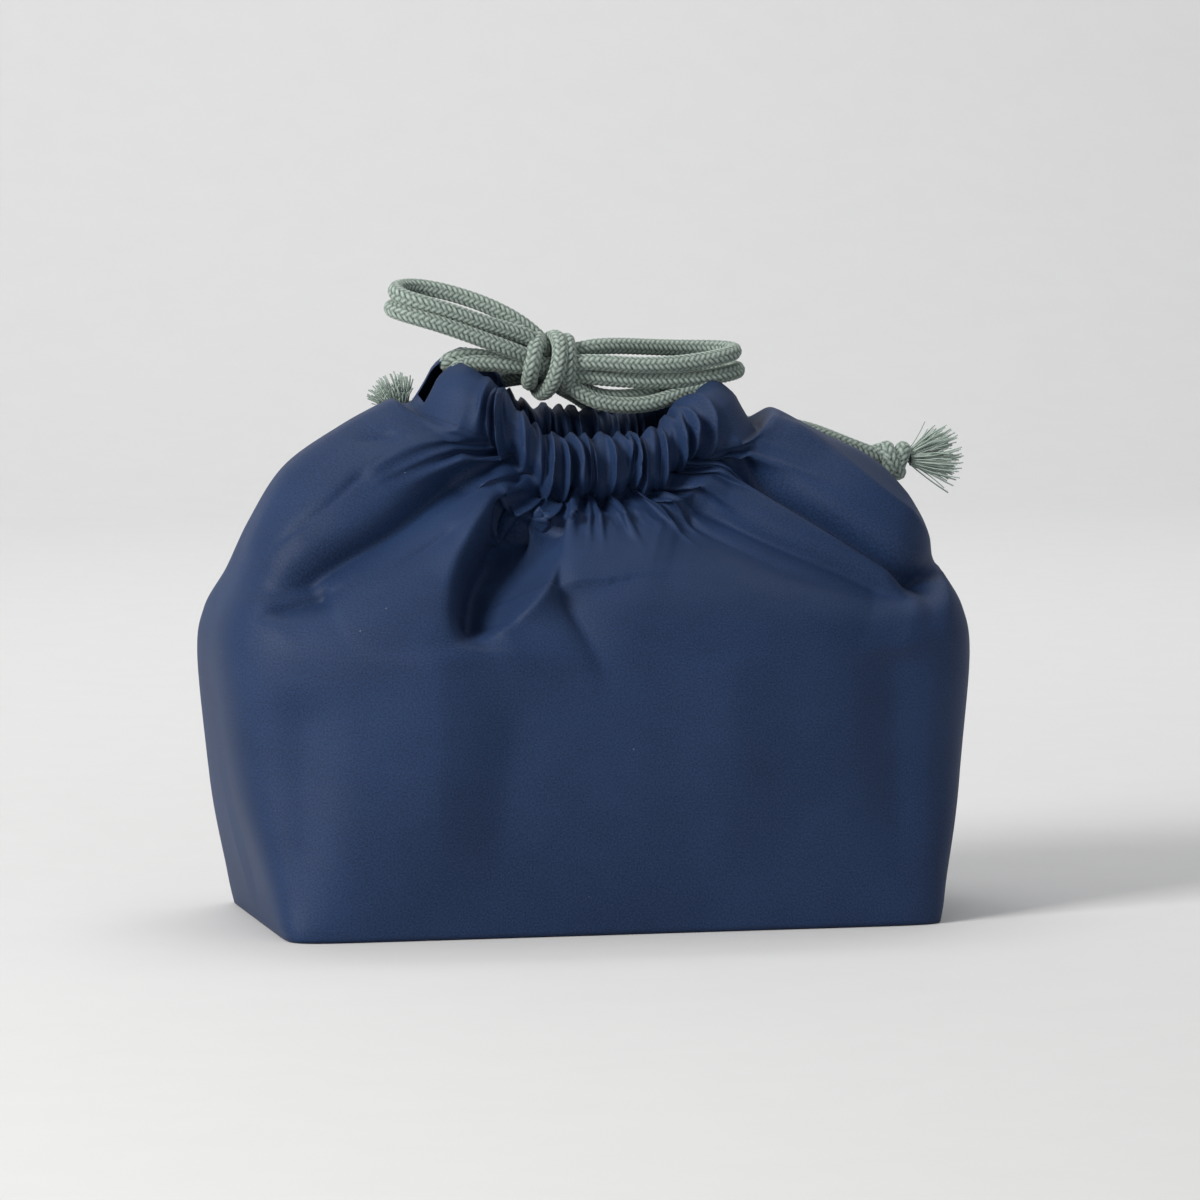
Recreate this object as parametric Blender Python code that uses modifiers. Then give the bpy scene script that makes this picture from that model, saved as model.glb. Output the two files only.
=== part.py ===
"""Kinchaku drawstring pouch: a box-bottomed cloth bag, its mouth gathered on two drawcords tied in one bow.

Lengths are metres and +Z is up. The front faces -Y, and +X is to the right of somebody looking at the front.
The origin is the middle of the flat base. Sections and routes are listed in millimetres and scaled by MM.
"""

import math

import bmesh
import bpy
from mathutils import Matrix, Vector

MM = 0.001

# Cloth. Each section of the bag, from the base up, gives its height at front and back, its height at the sides,
# half width, half depth and squareness, where 2 is an ellipse and more is boxier.
WALL = 1.2 * MM
AROUND = 56
SECTIONS_MM = (
    (0, 0, 113, 54, 3.0),
    (3, 3, 117, 58, 3.0),
    (42, 42, 122, 60, 2.8),
    (80, 80, 125, 61, 2.6),
    (103, 112, 118, 57, 2.5),
    (118, 131, 108, 50, 2.4),
    (129, 147, 94, 41, 2.3),
    (136, 157, 78, 32.5, 2.2),
    (140, 161.5, 61, 26.5, 2.2),
)

# Mouth: the casing is a cloth tunnel along two straights and two half circles, which climbs to an ear at each end.
MOUTH_STRAIGHT = 24 * MM
MOUTH_RADIUS = 18 * MM
MOUTH_HEIGHT = 150 * MM
EAR_START = 12 * MM
LEFT_EAR_RISE = 18 * MM
RIGHT_EAR_RISE = 11 * MM
CASING_HALF = (7.8 * MM, 11.2 * MM)
TUNNEL_HALF = (6.8 * MM, 10.0 * MM)
CASING_SIDES = 16
SEAM_OFFSET = 2.6 * MM  # the body joins the casing this far outside the tunnel's middle
SEAM_DROP = 4 * MM
SLIT_HALF_WIDTH = 10.5 * MM
SLIT_FLOOR = 3 * MM  # below the tunnel's middle
SLIT_SIZE = Vector((26, 21, 20)) * MM

# Drawcord
CORD_RADIUS = 2.7 * MM
CORD_PITCH = 3.45 * MM  # from the tunnel's middle to each of the two cords twisted in it
TUBE_STEP = 6 * MM
CASING_STEPS = 240
BEVEL_STEPS = 2
GAP = 0.3 * MM
OUTLET_SHARE = (SLIT_HALF_WIDTH + GAP) / (2 * (math.pi * MOUTH_RADIUS + 2 * MOUTH_STRAIGHT))
LEFT_CORD_SHARES = (-0.5 + OUTLET_SHARE, 0.5 - OUTLET_SHARE)  # of the way round the mouth, outlet to outlet
RIGHT_CORD_SHARES = (OUTLET_SHARE, 1 - OUTLET_SHARE)

# Free strands, from the casing to the bow knot
STRANDS_MM = {
    "left_cord_front": (
        (-42.6, -4.2, 175), (-40.4, -3.3, 177.8), (-36, -3.2, 178.6), (-30, -3.2, 177.8), (-12.5, -3.2, 174.6),
    ),
    "left_cord_back": (
        (-43.4, 4.2, 175.8), (-41.6, 2.9, 178.8), (-37, 2.8, 179.8), (-30, 2.8, 179.2), (-12.5, 2.8, 176.4),
    ),
    "right_cord_front": (
        (42.2, -5, 167), (38.6, -4.2, 166.4), (32, -4.6, 164), (23, -4.8, 163.2), (12, -4.8, 164.2),
        (1, -4.6, 166.6), (-10, -4.2, 170),
    ),
    "right_cord_back": (
        (43, 4.8, 167.4), (40.4, 2.2, 168.4), (33, 1.5, 167.2), (23, 1.2, 166.2), (12, 1.2, 166.4),
        (1, 1.4, 168), (-10, 1.8, 170.6),
    ),
}

# Bow loops, from the knot and back into it
LOOPS_MM = {
    "bow_loop_left_upper": (
        (-13, 2, 186), (-23, 4.6, 194), (-35, 8.6, 200.6), (-46, 12, 204.2), (-54, 12.4, 205.8), (-60, 9.2, 205.6),
        (-63, 3.4, 204), (-60.8, -2.4, 202), (-53.6, -5.4, 199.8), (-44, -5.8, 196.8), (-33, -5.2, 192.4),
        (-22, -3, 189), (-12.5, -1, 184.5),
    ),
    "bow_loop_left_lower": (
        (-12.5, -0.5, 178), (-22, -6, 182.4), (-33, -7, 186.4), (-44, -7.4, 190.6), (-54, -6.6, 193.8),
        (-61.5, -2.8, 195.8), (-64.4, 3.2, 197), (-61.4, 9.2, 197.8), (-53.6, 11.6, 197), (-43.6, 9.6, 194.2),
        (-33, 5.8, 190.4), (-23, 3.4, 185.4), (-12.5, 1, 179),
    ),
    "bow_loop_right_upper": (
        (-12.5, -1, 178), (0, -5.2, 179.8), (14, -6.8, 178.2), (30, -7, 178.6), (42, -5.6, 180),
        (50.4, -1.6, 181.6), (53, 4.4, 182.4), (49.8, 10, 182.6), (41, 12, 182.6), (28, 9.6, 183), (13, 4.6, 184),
        (0, 1.4, 183.8), (-12.5, 0.5, 179),
    ),
    "bow_loop_right_lower": (
        (-12.5, -1, 176), (1, -2.2, 174.6), (16, -3.4, 173.2), (32, -4, 173), (44, -3, 174.2), (52.2, 1, 175.4),
        (54.8, 7, 176), (51.4, 12.6, 176.4), (42.4, 15, 176.4), (28, 12.8, 176.6), (13, 8.4, 177), (0, 4.4, 177.6),
        (-12.5, 1, 177),
    ),
}

# Tails: the doubled ends, from the bow knot over the back casing to the end knots. The second strand of each pair
# lies beside the first, on its left going outwards where the spacing is positive.
TAILS_MM = {
    "left": (
        (-18, 2, 175), (-21.5, 12, 173.6), (-26.5, 21, 172.8), (-32, 29.8, 169.4), (-40, 33.4, 163.4), (-48, 30.8, 158.8),
    ),
    "right": (
        (-8, 2, 174), (-1, 11, 170.8), (7, 20, 167.4), (18, 29, 159.4), (32, 32, 154), (48, 28.4, 154.8),
        (64, 22, 157), (80, 17, 154.8), (93, 14.6, 149.6), (107, 14, 144.8),
    ),
}
TAIL_SPACING = {"left": -6 * MM, "right": 6 * MM}

# Bow knot, end knots and frayed ends
BOW_KNOT_CENTRE = Vector((-12.5, 0.5, 176.5)) * MM
BOW_KNOT_HALF = Vector((9.5, 10, 11.5)) * MM
END_KNOT_HALF = Vector((7, 6.6, 6.6)) * MM
END_KNOTS = {
    "left": (Vector((-51.5, 30.5, 157)) * MM, Vector((-0.5, -0.35, 0.8))),
    "right": (Vector((107, 16, 144.5)) * MM, Vector((1, 0, 0.12))),
}
FRAY_LENGTH = 16 * MM
FRAY_RADII = (3.2 * MM, 7.6 * MM)
KNOT_SEGMENTS = 20
KNOT_RINGS = 12

# Finishes: colour, roughness
CLOTH_FINISH = ((0.012, 0.023, 0.065), 0.62)
CORD_FINISH = ((0.14, 0.18, 0.145), 0.85)


def clear_scene():
    """Removes whatever the file opened with."""
    for obj in list(bpy.data.objects):
        bpy.data.objects.remove(obj, do_unlink=True)


def new_collection(name):
    """A collection linked to the scene."""
    collection = bpy.data.collections.new(name)
    bpy.context.scene.collection.children.link(collection)
    return collection


def new_material(name, finish):
    """A plain Principled material."""
    colour, roughness = finish
    material = bpy.data.materials.new(name)
    material.use_nodes = True
    shader = material.node_tree.nodes["Principled BSDF"]
    shader.inputs["Base Color"].default_value = (*colour, 1)
    shader.inputs["Roughness"].default_value = roughness
    shader.inputs["Metallic"].default_value = 0
    return material


def add_object(name, data, collection, material=None):
    """Links new data to a collection as a named object."""
    obj = bpy.data.objects.new(name, data)
    collection.objects.link(obj)
    if material:
        data.materials.append(material)
    return obj


def mesh_object(name, mesh, collection, material=None):
    """Turns a bmesh into a named object whose faces point outwards."""
    bmesh.ops.recalc_face_normals(mesh, faces=mesh.faces)
    data = bpy.data.meshes.new(name)
    mesh.to_mesh(data)
    mesh.free()
    return add_object(name, data, collection, material)


def loft(rings, ends_meet=False, cap_first=False):
    """A bmesh skin through closed rings of points."""
    mesh = bmesh.new()
    rows = [[mesh.verts.new(point) for point in ring] for ring in rings]
    pairs = list(zip(rows, rows[1:]))
    if ends_meet:
        pairs.append((rows[-1], rows[0]))
    count = len(rows[0])
    for low, high in pairs:
        for i in range(count):
            j = (i + 1) % count
            mesh.faces.new((low[i], low[j], high[j], high[i]))
    if cap_first:
        mesh.faces.new(reversed(rows[0]))
    return mesh


def smooth_step(share):
    """Eases from 0 to 1."""
    share = min(max(share, 0), 1)
    return share * share * (3 - 2 * share)


def mouth_height(x):
    """Height of the tunnel's middle at this distance to the side."""
    rise = RIGHT_EAR_RISE if x > 0 else LEFT_EAR_RISE
    reach = MOUTH_STRAIGHT + MOUTH_RADIUS - EAR_START
    return MOUTH_HEIGHT + rise * smooth_step((abs(x) - EAR_START) / reach)


def mouth_at(share):
    """The tunnel's middle and its outward direction, this share of the way round from the right end by the back."""
    arc = math.pi * MOUTH_RADIUS
    side = 2 * MOUTH_STRAIGHT
    along = (share % 1) * 2 * (arc + side)
    half = arc + side
    turn = -1 if along >= half else 1  # the second half is the first turned by half a circle
    along %= half
    if along < arc / 2:
        angle, centre = along / MOUTH_RADIUS, MOUTH_STRAIGHT
    elif along < arc / 2 + side:
        angle, centre = math.pi / 2, MOUTH_STRAIGHT - (along - arc / 2)
    else:
        angle, centre = (along - side) / MOUTH_RADIUS, -MOUTH_STRAIGHT
    out = Vector((math.cos(angle), math.sin(angle), 0)) * turn
    point = Vector((centre * turn, 0, 0)) + out * MOUTH_RADIUS
    point.z = mouth_height(point.x)
    return point, out


def body_ring(section):
    """One closed outline of the bag, a rounded box whose sides sit higher than its front."""
    front, side, half_width, half_depth, squareness = section
    ring = []
    for i in range(AROUND):
        angle = math.tau * i / AROUND
        across, along = math.cos(angle), math.sin(angle)
        x = half_width * math.copysign(abs(across) ** (2 / squareness), across)
        y = half_depth * math.copysign(abs(along) ** (2 / squareness), along)
        ring.append(Vector((x, y, front + (side - front) * abs(across))) * MM)
    return ring


def seam_ring():
    """The bag's top edge, inside the casing."""
    ring = []
    for i in range(AROUND):
        point, out = mouth_at(i / AROUND)
        ring.append(point + out * SEAM_OFFSET - Vector((0, 0, SEAM_DROP)))
    return ring


def casing_mesh(half):
    """A tunnel of oval section all round the mouth."""
    rings = []
    for i in range(AROUND):
        point, out = mouth_at(i / AROUND)
        ring = []
        for k in range(CASING_SIDES):
            angle = math.tau * k / CASING_SIDES
            ring.append(point + out * half[0] * math.cos(angle) + Vector((0, 0, half[1] * math.sin(angle))))
        rings.append(ring)
    return loft(rings, ends_meet=True)


def slit_mesh(side):
    """A block that opens both casings at one end of the mouth."""
    x = side * (MOUTH_STRAIGHT + MOUTH_RADIUS)
    centre = Vector((x, 0, mouth_height(x) - SLIT_FLOOR + SLIT_SIZE.z / 2))
    mesh = bmesh.new()
    place = Matrix.Translation(centre) @ Matrix.Diagonal((*SLIT_SIZE, 1))
    bmesh.ops.create_cube(mesh, size=1, matrix=place)
    return mesh


def add_boolean(obj, operation, other):
    """Joins or cuts with another mesh object, which no longer shows itself."""
    modifier = obj.modifiers.new(f"{operation.lower()} {other.name}", "BOOLEAN")
    modifier.operation = operation
    modifier.solver = "EXACT"
    modifier.object = other
    other.hide_render = True
    other.display_type = "WIRE"


def build_body(parts, cutters, material):
    """The cloth bag: an open skin given its thickness, joined to the casing, which is then hollowed and slit."""
    rings = [body_ring(section) for section in SECTIONS_MM] + [seam_ring()]
    body = mesh_object("pouch_body", loft(rings, cap_first=True), parts, material)
    thickness = body.modifiers.new("cloth thickness", "SOLIDIFY")
    thickness.thickness = WALL
    thickness.offset = -1
    thickness.use_even_offset = True
    add_boolean(body, "UNION", mesh_object("casing_outside", casing_mesh(CASING_HALF), cutters))
    add_boolean(body, "DIFFERENCE", mesh_object("casing_tunnel", casing_mesh(TUNNEL_HALF), cutters))
    for side, name in ((-1, "left_slit"), (1, "right_slit")):
        add_boolean(body, "DIFFERENCE", mesh_object(name, slit_mesh(side), cutters))


def smooth_path(points, steps=24):
    """A Catmull-Rom curve through the points, as many short steps."""
    ends = [2 * points[0] - points[1], *points, 2 * points[-1] - points[-2]]
    path = []
    for a, b, c, d in zip(ends, ends[1:], ends[2:], ends[3:]):
        for k in range(steps):
            t = k / steps
            bend = (2 * a - 5 * b + 4 * c - d) * t + (3 * b - a - 3 * c + d) * t * t
            path.append(b + (c - a + bend) * t / 2)
    path.append(points[-1].copy())
    return path


def resample(path, step):
    """Points an even distance apart along a path, both ends kept."""
    lengths = [0.0]
    for a, b in zip(path, path[1:]):
        lengths.append(lengths[-1] + (b - a).length)
    count = max(2, round(lengths[-1] / step))
    points = []
    k = 0
    for i in range(count + 1):
        target = lengths[-1] * i / count
        while k < len(lengths) - 2 and lengths[k + 1] < target:
            k += 1
        share = (target - lengths[k]) / max(lengths[k + 1] - lengths[k], 1e-9)
        points.append(path[k].lerp(path[k + 1], share))
    return points


def outside(point, along, centre, half):
    """Whether the end face of a tube there is a gap clear of an ellipsoid."""
    across = along.orthogonal().normalized()
    for k in range(8):
        rim = point + Matrix.Rotation(math.tau * k / 8, 3, along) @ across * CORD_RADIUS
        if sum(((rim - centre)[i] / (half[i] + GAP)) ** 2 for i in range(3)) < 1:
            return False
    return True


def trim(path, centre, half, at_start):
    """Cuts a path back to where its end face stands just off a knot."""
    if not at_start:
        return trim(path[::-1], centre, half, True)[::-1]
    for i, point in enumerate(path[:-1]):
        if outside(point, (path[i + 1] - point).normalized(), centre, half):
            return path[i:]
    return path


def add_tube(name, path, collection, material):
    """A cord as a curve object with a round bevel and closed ends."""
    curve = bpy.data.curves.new(name, "CURVE")
    curve.dimensions = "3D"
    curve.bevel_depth = CORD_RADIUS
    curve.bevel_resolution = BEVEL_STEPS
    curve.use_fill_caps = True
    points = resample(path, TUBE_STEP)
    spline = curve.splines.new("POLY")
    spline.points.add(len(points) - 1)
    for slot, point in zip(spline.points, points):
        slot.co = (*point, 1)
    add_object(name, curve, collection, material)


def in_casing(share, phase):
    """Where a drawcord is in the casing. It twists half a turn around the other one along each side."""
    point, out = mouth_at(share)
    angle = math.tau * share + phase
    return point + (out * math.sin(angle) + Vector((0, 0, math.cos(angle)))) * CORD_PITCH


def outlet(name):
    """The first points of a free strand, in line with its cord in the casing."""
    left, front = name.startswith("left"), name.endswith("front")
    phase = math.pi if left else 0
    middle = 0.5 if left else 0
    way = 1 if front == left else -1
    shares = [middle + way * OUTLET_SHARE * reach for reach in (0.93, 0.66)]
    return [in_casing(share, phase) for share in shares]


def add_knot(name, centre, half, collection, material, axis=None):
    """A knot as a squashed ball, turned to its cord."""
    turn = Vector((1, 0, 0)).rotation_difference(axis or Vector((1, 0, 0))).to_matrix().to_4x4()
    mesh = bmesh.new()
    place = Matrix.Translation(centre) @ turn @ Matrix.Diagonal((*half, 1))
    bmesh.ops.create_uvsphere(mesh, u_segments=KNOT_SEGMENTS, v_segments=KNOT_RINGS, radius=1, matrix=place)
    mesh_object(name, mesh, collection, material)


def add_frayed_end(name, centre, axis, collection, material):
    """The brush of loose yarns beyond an end knot, as a flared cone."""
    axis = axis.normalized()
    middle = centre + axis * (END_KNOT_HALF.x + GAP + FRAY_LENGTH / 2)
    turn = Vector((0, 0, 1)).rotation_difference(axis).to_matrix().to_4x4()
    mesh = bmesh.new()
    bmesh.ops.create_cone(
        mesh, cap_ends=True, segments=16, radius1=FRAY_RADII[0], radius2=FRAY_RADII[1], depth=FRAY_LENGTH,
        matrix=Matrix.Translation(middle) @ turn,
    )
    mesh_object(name, mesh, collection, material)


def to_metres(points_mm):
    """Points listed in millimetres, as vectors in metres."""
    return [Vector(point) * MM for point in points_mm]


def beside(path, spacing):
    """A path that lies level with another, this far to its left."""
    moved = []
    for i, point in enumerate(path):
        along = path[min(i + 1, len(path) - 1)] - path[max(i - 1, 0)]
        moved.append(point + Vector((-along.y, along.x, 0)).normalized() * spacing)
    return moved


def build_cords(parts, material):
    """Both drawcords, stretch by stretch, with the knots on them."""
    knot = (BOW_KNOT_CENTRE, BOW_KNOT_HALF)
    for name, points in STRANDS_MM.items():
        path = smooth_path(outlet(name) + to_metres(points))
        add_tube(name, trim(path, *knot, at_start=False), parts, material)
    for name, points in LOOPS_MM.items():
        path = trim(smooth_path(to_metres(points)), *knot, at_start=True)
        add_tube(name, trim(path, *knot, at_start=False), parts, material)
    for side, points in TAILS_MM.items():
        centre, axis = END_KNOTS[side]
        ball = Vector((END_KNOT_HALF.x,) * 3)
        first = smooth_path(to_metres(points))
        for name, whole in (("first", first), ("second", beside(first, TAIL_SPACING[side]))):
            path = trim(whole, *knot, at_start=True)
            add_tube(f"{side}_tail_{name}", trim(path, centre, ball, at_start=False), parts, material)
        add_knot(f"{side}_end_knot", centre, END_KNOT_HALF, parts, material, axis)
        add_frayed_end(f"{side}_frayed_end", centre, axis, parts, material)
    add_knot("bow_knot", *knot, parts, material)
    for name, (start, end), phase in (
        ("left_cord_in_casing", LEFT_CORD_SHARES, math.pi),
        ("right_cord_in_casing", RIGHT_CORD_SHARES, 0),
    ):
        path = [in_casing(start + (end - start) * i / CASING_STEPS, phase) for i in range(CASING_STEPS + 1)]
        add_tube(name, path, parts, material)


def main():
    """Builds the pouch."""
    clear_scene()
    parts = new_collection("kinchaku_drawstring_pouch")
    cutters = new_collection("cutters")
    build_body(parts, cutters, new_material("navy cloth", CLOTH_FINISH))
    build_cords(parts, new_material("sage cord", CORD_FINISH))


if __name__ == "__main__":
    main()
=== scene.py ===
"""Looks of a kinchaku drawstring pouch: gathered navy cloth and two braided sage cords tied in one bow."""

import logging
import math
from dataclasses import dataclass, field
from enum import Enum

import bmesh
import bpy
import numpy as np
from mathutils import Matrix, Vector

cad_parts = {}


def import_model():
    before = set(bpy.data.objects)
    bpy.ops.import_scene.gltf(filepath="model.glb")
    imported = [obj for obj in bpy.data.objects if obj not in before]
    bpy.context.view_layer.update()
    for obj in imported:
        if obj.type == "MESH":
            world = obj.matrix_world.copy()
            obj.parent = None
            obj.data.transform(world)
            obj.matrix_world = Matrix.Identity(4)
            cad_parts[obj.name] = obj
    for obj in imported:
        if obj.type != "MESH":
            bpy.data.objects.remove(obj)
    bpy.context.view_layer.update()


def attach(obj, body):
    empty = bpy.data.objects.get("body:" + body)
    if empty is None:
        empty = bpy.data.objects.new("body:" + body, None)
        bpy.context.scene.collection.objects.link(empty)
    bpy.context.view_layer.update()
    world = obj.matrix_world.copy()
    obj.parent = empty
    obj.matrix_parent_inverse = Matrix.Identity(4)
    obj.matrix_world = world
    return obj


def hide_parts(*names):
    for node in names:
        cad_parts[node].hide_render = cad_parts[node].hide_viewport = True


MM = 0.001
BODY = "root"
Point = tuple[float, float, float]
Route = tuple[Point, ...]
log = logging.getLogger("pouch")


class Slot(Enum):
    """Names for the material slots."""

    CLOTH = "cloth"
    CORD = "cord"


class Side(Enum):
    """The two ends of the mouth, as the direction of each along X."""

    LEFT = -1
    RIGHT = 1


# --------------------------------------------------------------------------------------------------
# Shader building
# --------------------------------------------------------------------------------------------------


def add_node(tree: bpy.types.NodeTree, kind: str, **settings: object) -> bpy.types.Node:
    """Adds a node to a tree.

    Args:
        tree: The node tree.
        kind: The node's type name.
        settings: Attributes of the node; a key that starts with "in_" sets the input socket of that number.

    Returns:
        The new node.
    """
    node = tree.nodes.new(kind)
    for key, value in settings.items():
        if key.startswith("in_"):
            node.inputs[int(key[3:])].default_value = value
        else:
            setattr(node, key, value)
    return node


def new_group(name: str, inputs: dict[str, float], outputs: tuple[str, ...]) -> bpy.types.NodeTree:
    """Starts a shader group with a vector input called Vector and any number of float inputs.

    Args:
        name: The group's name.
        inputs: Each input's name and default.
        outputs: The outputs' names, all floats.

    Returns:
        The group's node tree.
    """
    tree = bpy.data.node_groups.new(name, "ShaderNodeTree")
    tree.interface.new_socket("Vector", in_out="INPUT", socket_type="NodeSocketVector")
    for label, default in inputs.items():
        socket = tree.interface.new_socket(label, in_out="INPUT", socket_type="NodeSocketFloat")
        socket.default_value = default
    for label in outputs:
        tree.interface.new_socket(label, in_out="OUTPUT", socket_type="NodeSocketFloat")
    return tree


def fibre_group() -> bpy.types.NodeTree:
    """Uneven fibre: a fine grain and a broad cloudiness, which both the cloth and the cord have.

    Returns:
        The group, with the outputs Fine and Broad.
    """
    tree = new_group("fibre", {"Fine Scale": 900.0, "Broad Scale": 30.0}, ("Fine", "Broad"))
    start = add_node(tree, "NodeGroupInput")
    end = add_node(tree, "NodeGroupOutput")
    for scale, detail, out in ((1, 2.0, 0), (2, 4.0, 1)):
        noise = add_node(tree, "ShaderNodeTexNoise")
        noise.inputs["Detail"].default_value = detail
        noise.inputs["Roughness"].default_value = 0.6
        tree.links.new(start.outputs[0], noise.inputs["Vector"])
        tree.links.new(start.outputs[scale], noise.inputs["Scale"])
        tree.links.new(noise.outputs["Fac"], end.inputs[out])
    return tree


def new_material(name: str) -> tuple[bpy.types.Material, bpy.types.NodeTree, bpy.types.Node]:
    """Starts a material with a Principled shader.

    Args:
        name: The material's name.

    Returns:
        The material, its node tree and its shader node.
    """
    material = bpy.data.materials.new(name)
    material.use_nodes = True
    tree = material.node_tree
    return material, tree, tree.nodes["Principled BSDF"]


def mix_colours(
    tree: bpy.types.NodeTree, factor: bpy.types.NodeSocket, low: tuple, high: tuple
) -> bpy.types.Node:
    """Adds a two-colour ramp.

    Args:
        tree: The node tree.
        factor: What drives the ramp.
        low: Position and colour at the low end.
        high: Position and colour at the high end.

    Returns:
        The ramp node.
    """
    ramp = add_node(tree, "ShaderNodeValToRGB")
    for element, (place, colour) in zip(ramp.color_ramp.elements, (low, high)):
        element.position = place
        element.color = (*colour, 1)
    tree.links.new(factor, ramp.inputs["Fac"])
    return ramp


@dataclass(frozen=True)
class ClothFinish:
    """Fine plain-weave navy cloth, matt with a faint bluish bloom, and a little lint."""

    shade: tuple[float, float, float] = (0.005, 0.0145, 0.045)
    light: tuple[float, float, float] = (0.0155, 0.037, 0.1)
    lint: tuple[float, float, float] = (0.12, 0.13, 0.17)
    thread_pitch: float = 0.34 * MM
    roughness: float = 0.56
    sheen: float = 0.04

    def build(self, fibre: bpy.types.NodeTree) -> bpy.types.Material:
        """Makes the material.

        Args:
            fibre: The shared fibre group.

        Returns:
            The cloth material. It reads the piece's UV map, in metres of flat cloth.
        """
        material, tree, shader = new_material("navy_cloth")
        uv = add_node(tree, "ShaderNodeUVMap", uv_map="flat")
        grain = add_node(tree, "ShaderNodeGroup", node_tree=fibre, in_1=1700.0, in_2=22.0)
        tree.links.new(uv.outputs["UV"], grain.inputs[0])
        blend = add_node(tree, "ShaderNodeMath", operation="MULTIPLY_ADD", in_1=0.75)
        tree.links.new(grain.outputs["Fine"], blend.inputs[0])
        half = add_node(tree, "ShaderNodeMath", operation="MULTIPLY", in_1=0.3)
        tree.links.new(grain.outputs["Broad"], half.inputs[0])
        tree.links.new(half.outputs[0], blend.inputs[2])
        colour = mix_colours(tree, blend.outputs[0], (0.36, self.shade), (0.66, self.light))
        specks = add_node(tree, "ShaderNodeTexVoronoi", feature="F1")
        specks.inputs["Scale"].default_value = 70.0
        specks.inputs["Randomness"].default_value = 1.0
        tree.links.new(uv.outputs["UV"], specks.inputs["Vector"])
        near = add_node(tree, "ShaderNodeMath", operation="LESS_THAN", in_1=0.018)
        tree.links.new(specks.outputs["Distance"], near.inputs[0])
        tinted = add_node(tree, "ShaderNodeMix", data_type="RGBA")
        tree.links.new(near.outputs[0], tinted.inputs["Factor"])
        tree.links.new(colour.outputs["Color"], tinted.inputs["A"])
        tinted.inputs["B"].default_value = (*self.lint, 1)
        tree.links.new(tinted.outputs["Result"], shader.inputs["Base Color"])
        shader.inputs["Roughness"].default_value = self.roughness
        shader.inputs["Sheen Weight"].default_value = self.sheen
        shader.inputs["Sheen Roughness"].default_value = 0.45
        shader.inputs["Sheen Tint"].default_value = (0.42, 0.52, 0.85, 1)
        shader.inputs["Specular IOR Level"].default_value = 0.2
        self._weave(tree, uv, grain, shader)
        return material

    def _weave(
        self, tree: bpy.types.NodeTree, uv: bpy.types.Node, grain: bpy.types.Node, shader: bpy.types.Node
    ) -> None:
        """Raises the threads: a sine along each direction of the cloth, and uneven yarn.

        Args:
            tree: The material's node tree.
            uv: The UV map node.
            grain: The fibre group's node.
            shader: The Principled shader.
        """
        split = add_node(tree, "ShaderNodeSeparateXYZ")
        tree.links.new(uv.outputs["UV"], split.inputs[0])
        waves = []
        for axis in range(2):
            turn = add_node(tree, "ShaderNodeMath", operation="MULTIPLY", in_1=math.tau / self.thread_pitch)
            tree.links.new(split.outputs[axis], turn.inputs[0])
            wave = add_node(tree, "ShaderNodeMath", operation="SINE")
            tree.links.new(turn.outputs[0], wave.inputs[0])
            waves.append(wave)
        threads = add_node(tree, "ShaderNodeMath", operation="MULTIPLY")
        tree.links.new(waves[0].outputs[0], threads.inputs[0])
        tree.links.new(waves[1].outputs[0], threads.inputs[1])
        height = add_node(tree, "ShaderNodeMath", operation="MULTIPLY_ADD", in_1=0.35)
        tree.links.new(threads.outputs[0], height.inputs[0])
        tree.links.new(grain.outputs["Fine"], height.inputs[2])
        bump = add_node(tree, "ShaderNodeBump")
        bump.inputs["Strength"].default_value = 0.35
        bump.inputs["Distance"].default_value = 0.12 * MM
        tree.links.new(height.outputs[0], bump.inputs["Height"])
        tree.links.new(bump.outputs["Normal"], shader.inputs["Normal"])


@dataclass(frozen=True)
class CordFinish:
    """Braided sage cotton, with painted shade between its yarns."""

    name: str = "sage_cord"
    # painted shade: the dark colour put between the yarns, where the braid's hollows lie in shade
    crevice_shade: tuple[float, float, float] = (0.032, 0.047, 0.041)
    yarn: tuple[float, float, float] = (0.33, 0.4, 0.36)
    roughness: float = 0.9
    sheen: float = 0.35

    def build(self, fibre: bpy.types.NodeTree) -> bpy.types.Material:
        """Makes the material.

        Args:
            fibre: The shared fibre group.

        Returns:
            The cord material. It reads each point's "raised" attribute, 0 between yarns and 1 on top of one,
            and paints shade where it is low.
        """
        material, tree, shader = new_material(self.name)
        place = add_node(tree, "ShaderNodeTexCoord")
        grain = add_node(tree, "ShaderNodeGroup", node_tree=fibre, in_1=1500.0, in_2=160.0)
        tree.links.new(place.outputs["Object"], grain.inputs[0])
        raised = add_node(tree, "ShaderNodeAttribute", attribute_name="raised")
        uneven = add_node(tree, "ShaderNodeMath", operation="MULTIPLY_ADD", in_1=0.7, in_2=-0.33)
        tree.links.new(grain.outputs["Fine"], uneven.inputs[0])
        total = add_node(tree, "ShaderNodeMath", operation="ADD")
        tree.links.new(raised.outputs["Fac"], total.inputs[0])
        tree.links.new(uneven.outputs[0], total.inputs[1])
        # painted shade: the colour darkens between the yarns, from the dark crevice colour up to the yarn's
        # own colour on top
        colour = mix_colours(tree, total.outputs[0], (0.12, self.crevice_shade), (0.95, self.yarn))
        tree.links.new(colour.outputs["Color"], shader.inputs["Base Color"])
        shader.inputs["Roughness"].default_value = self.roughness
        shader.inputs["Sheen Weight"].default_value = self.sheen
        shader.inputs["Sheen Roughness"].default_value = 0.5
        shader.inputs["Sheen Tint"].default_value = (0.8, 0.9, 0.8, 1)
        shader.inputs["Specular IOR Level"].default_value = 0.2
        bump = add_node(tree, "ShaderNodeBump")
        bump.inputs["Strength"].default_value = 0.6
        bump.inputs["Distance"].default_value = 0.15 * MM
        tree.links.new(grain.outputs["Fine"], bump.inputs["Height"])
        tree.links.new(bump.outputs["Normal"], shader.inputs["Normal"])
        return material


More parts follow.
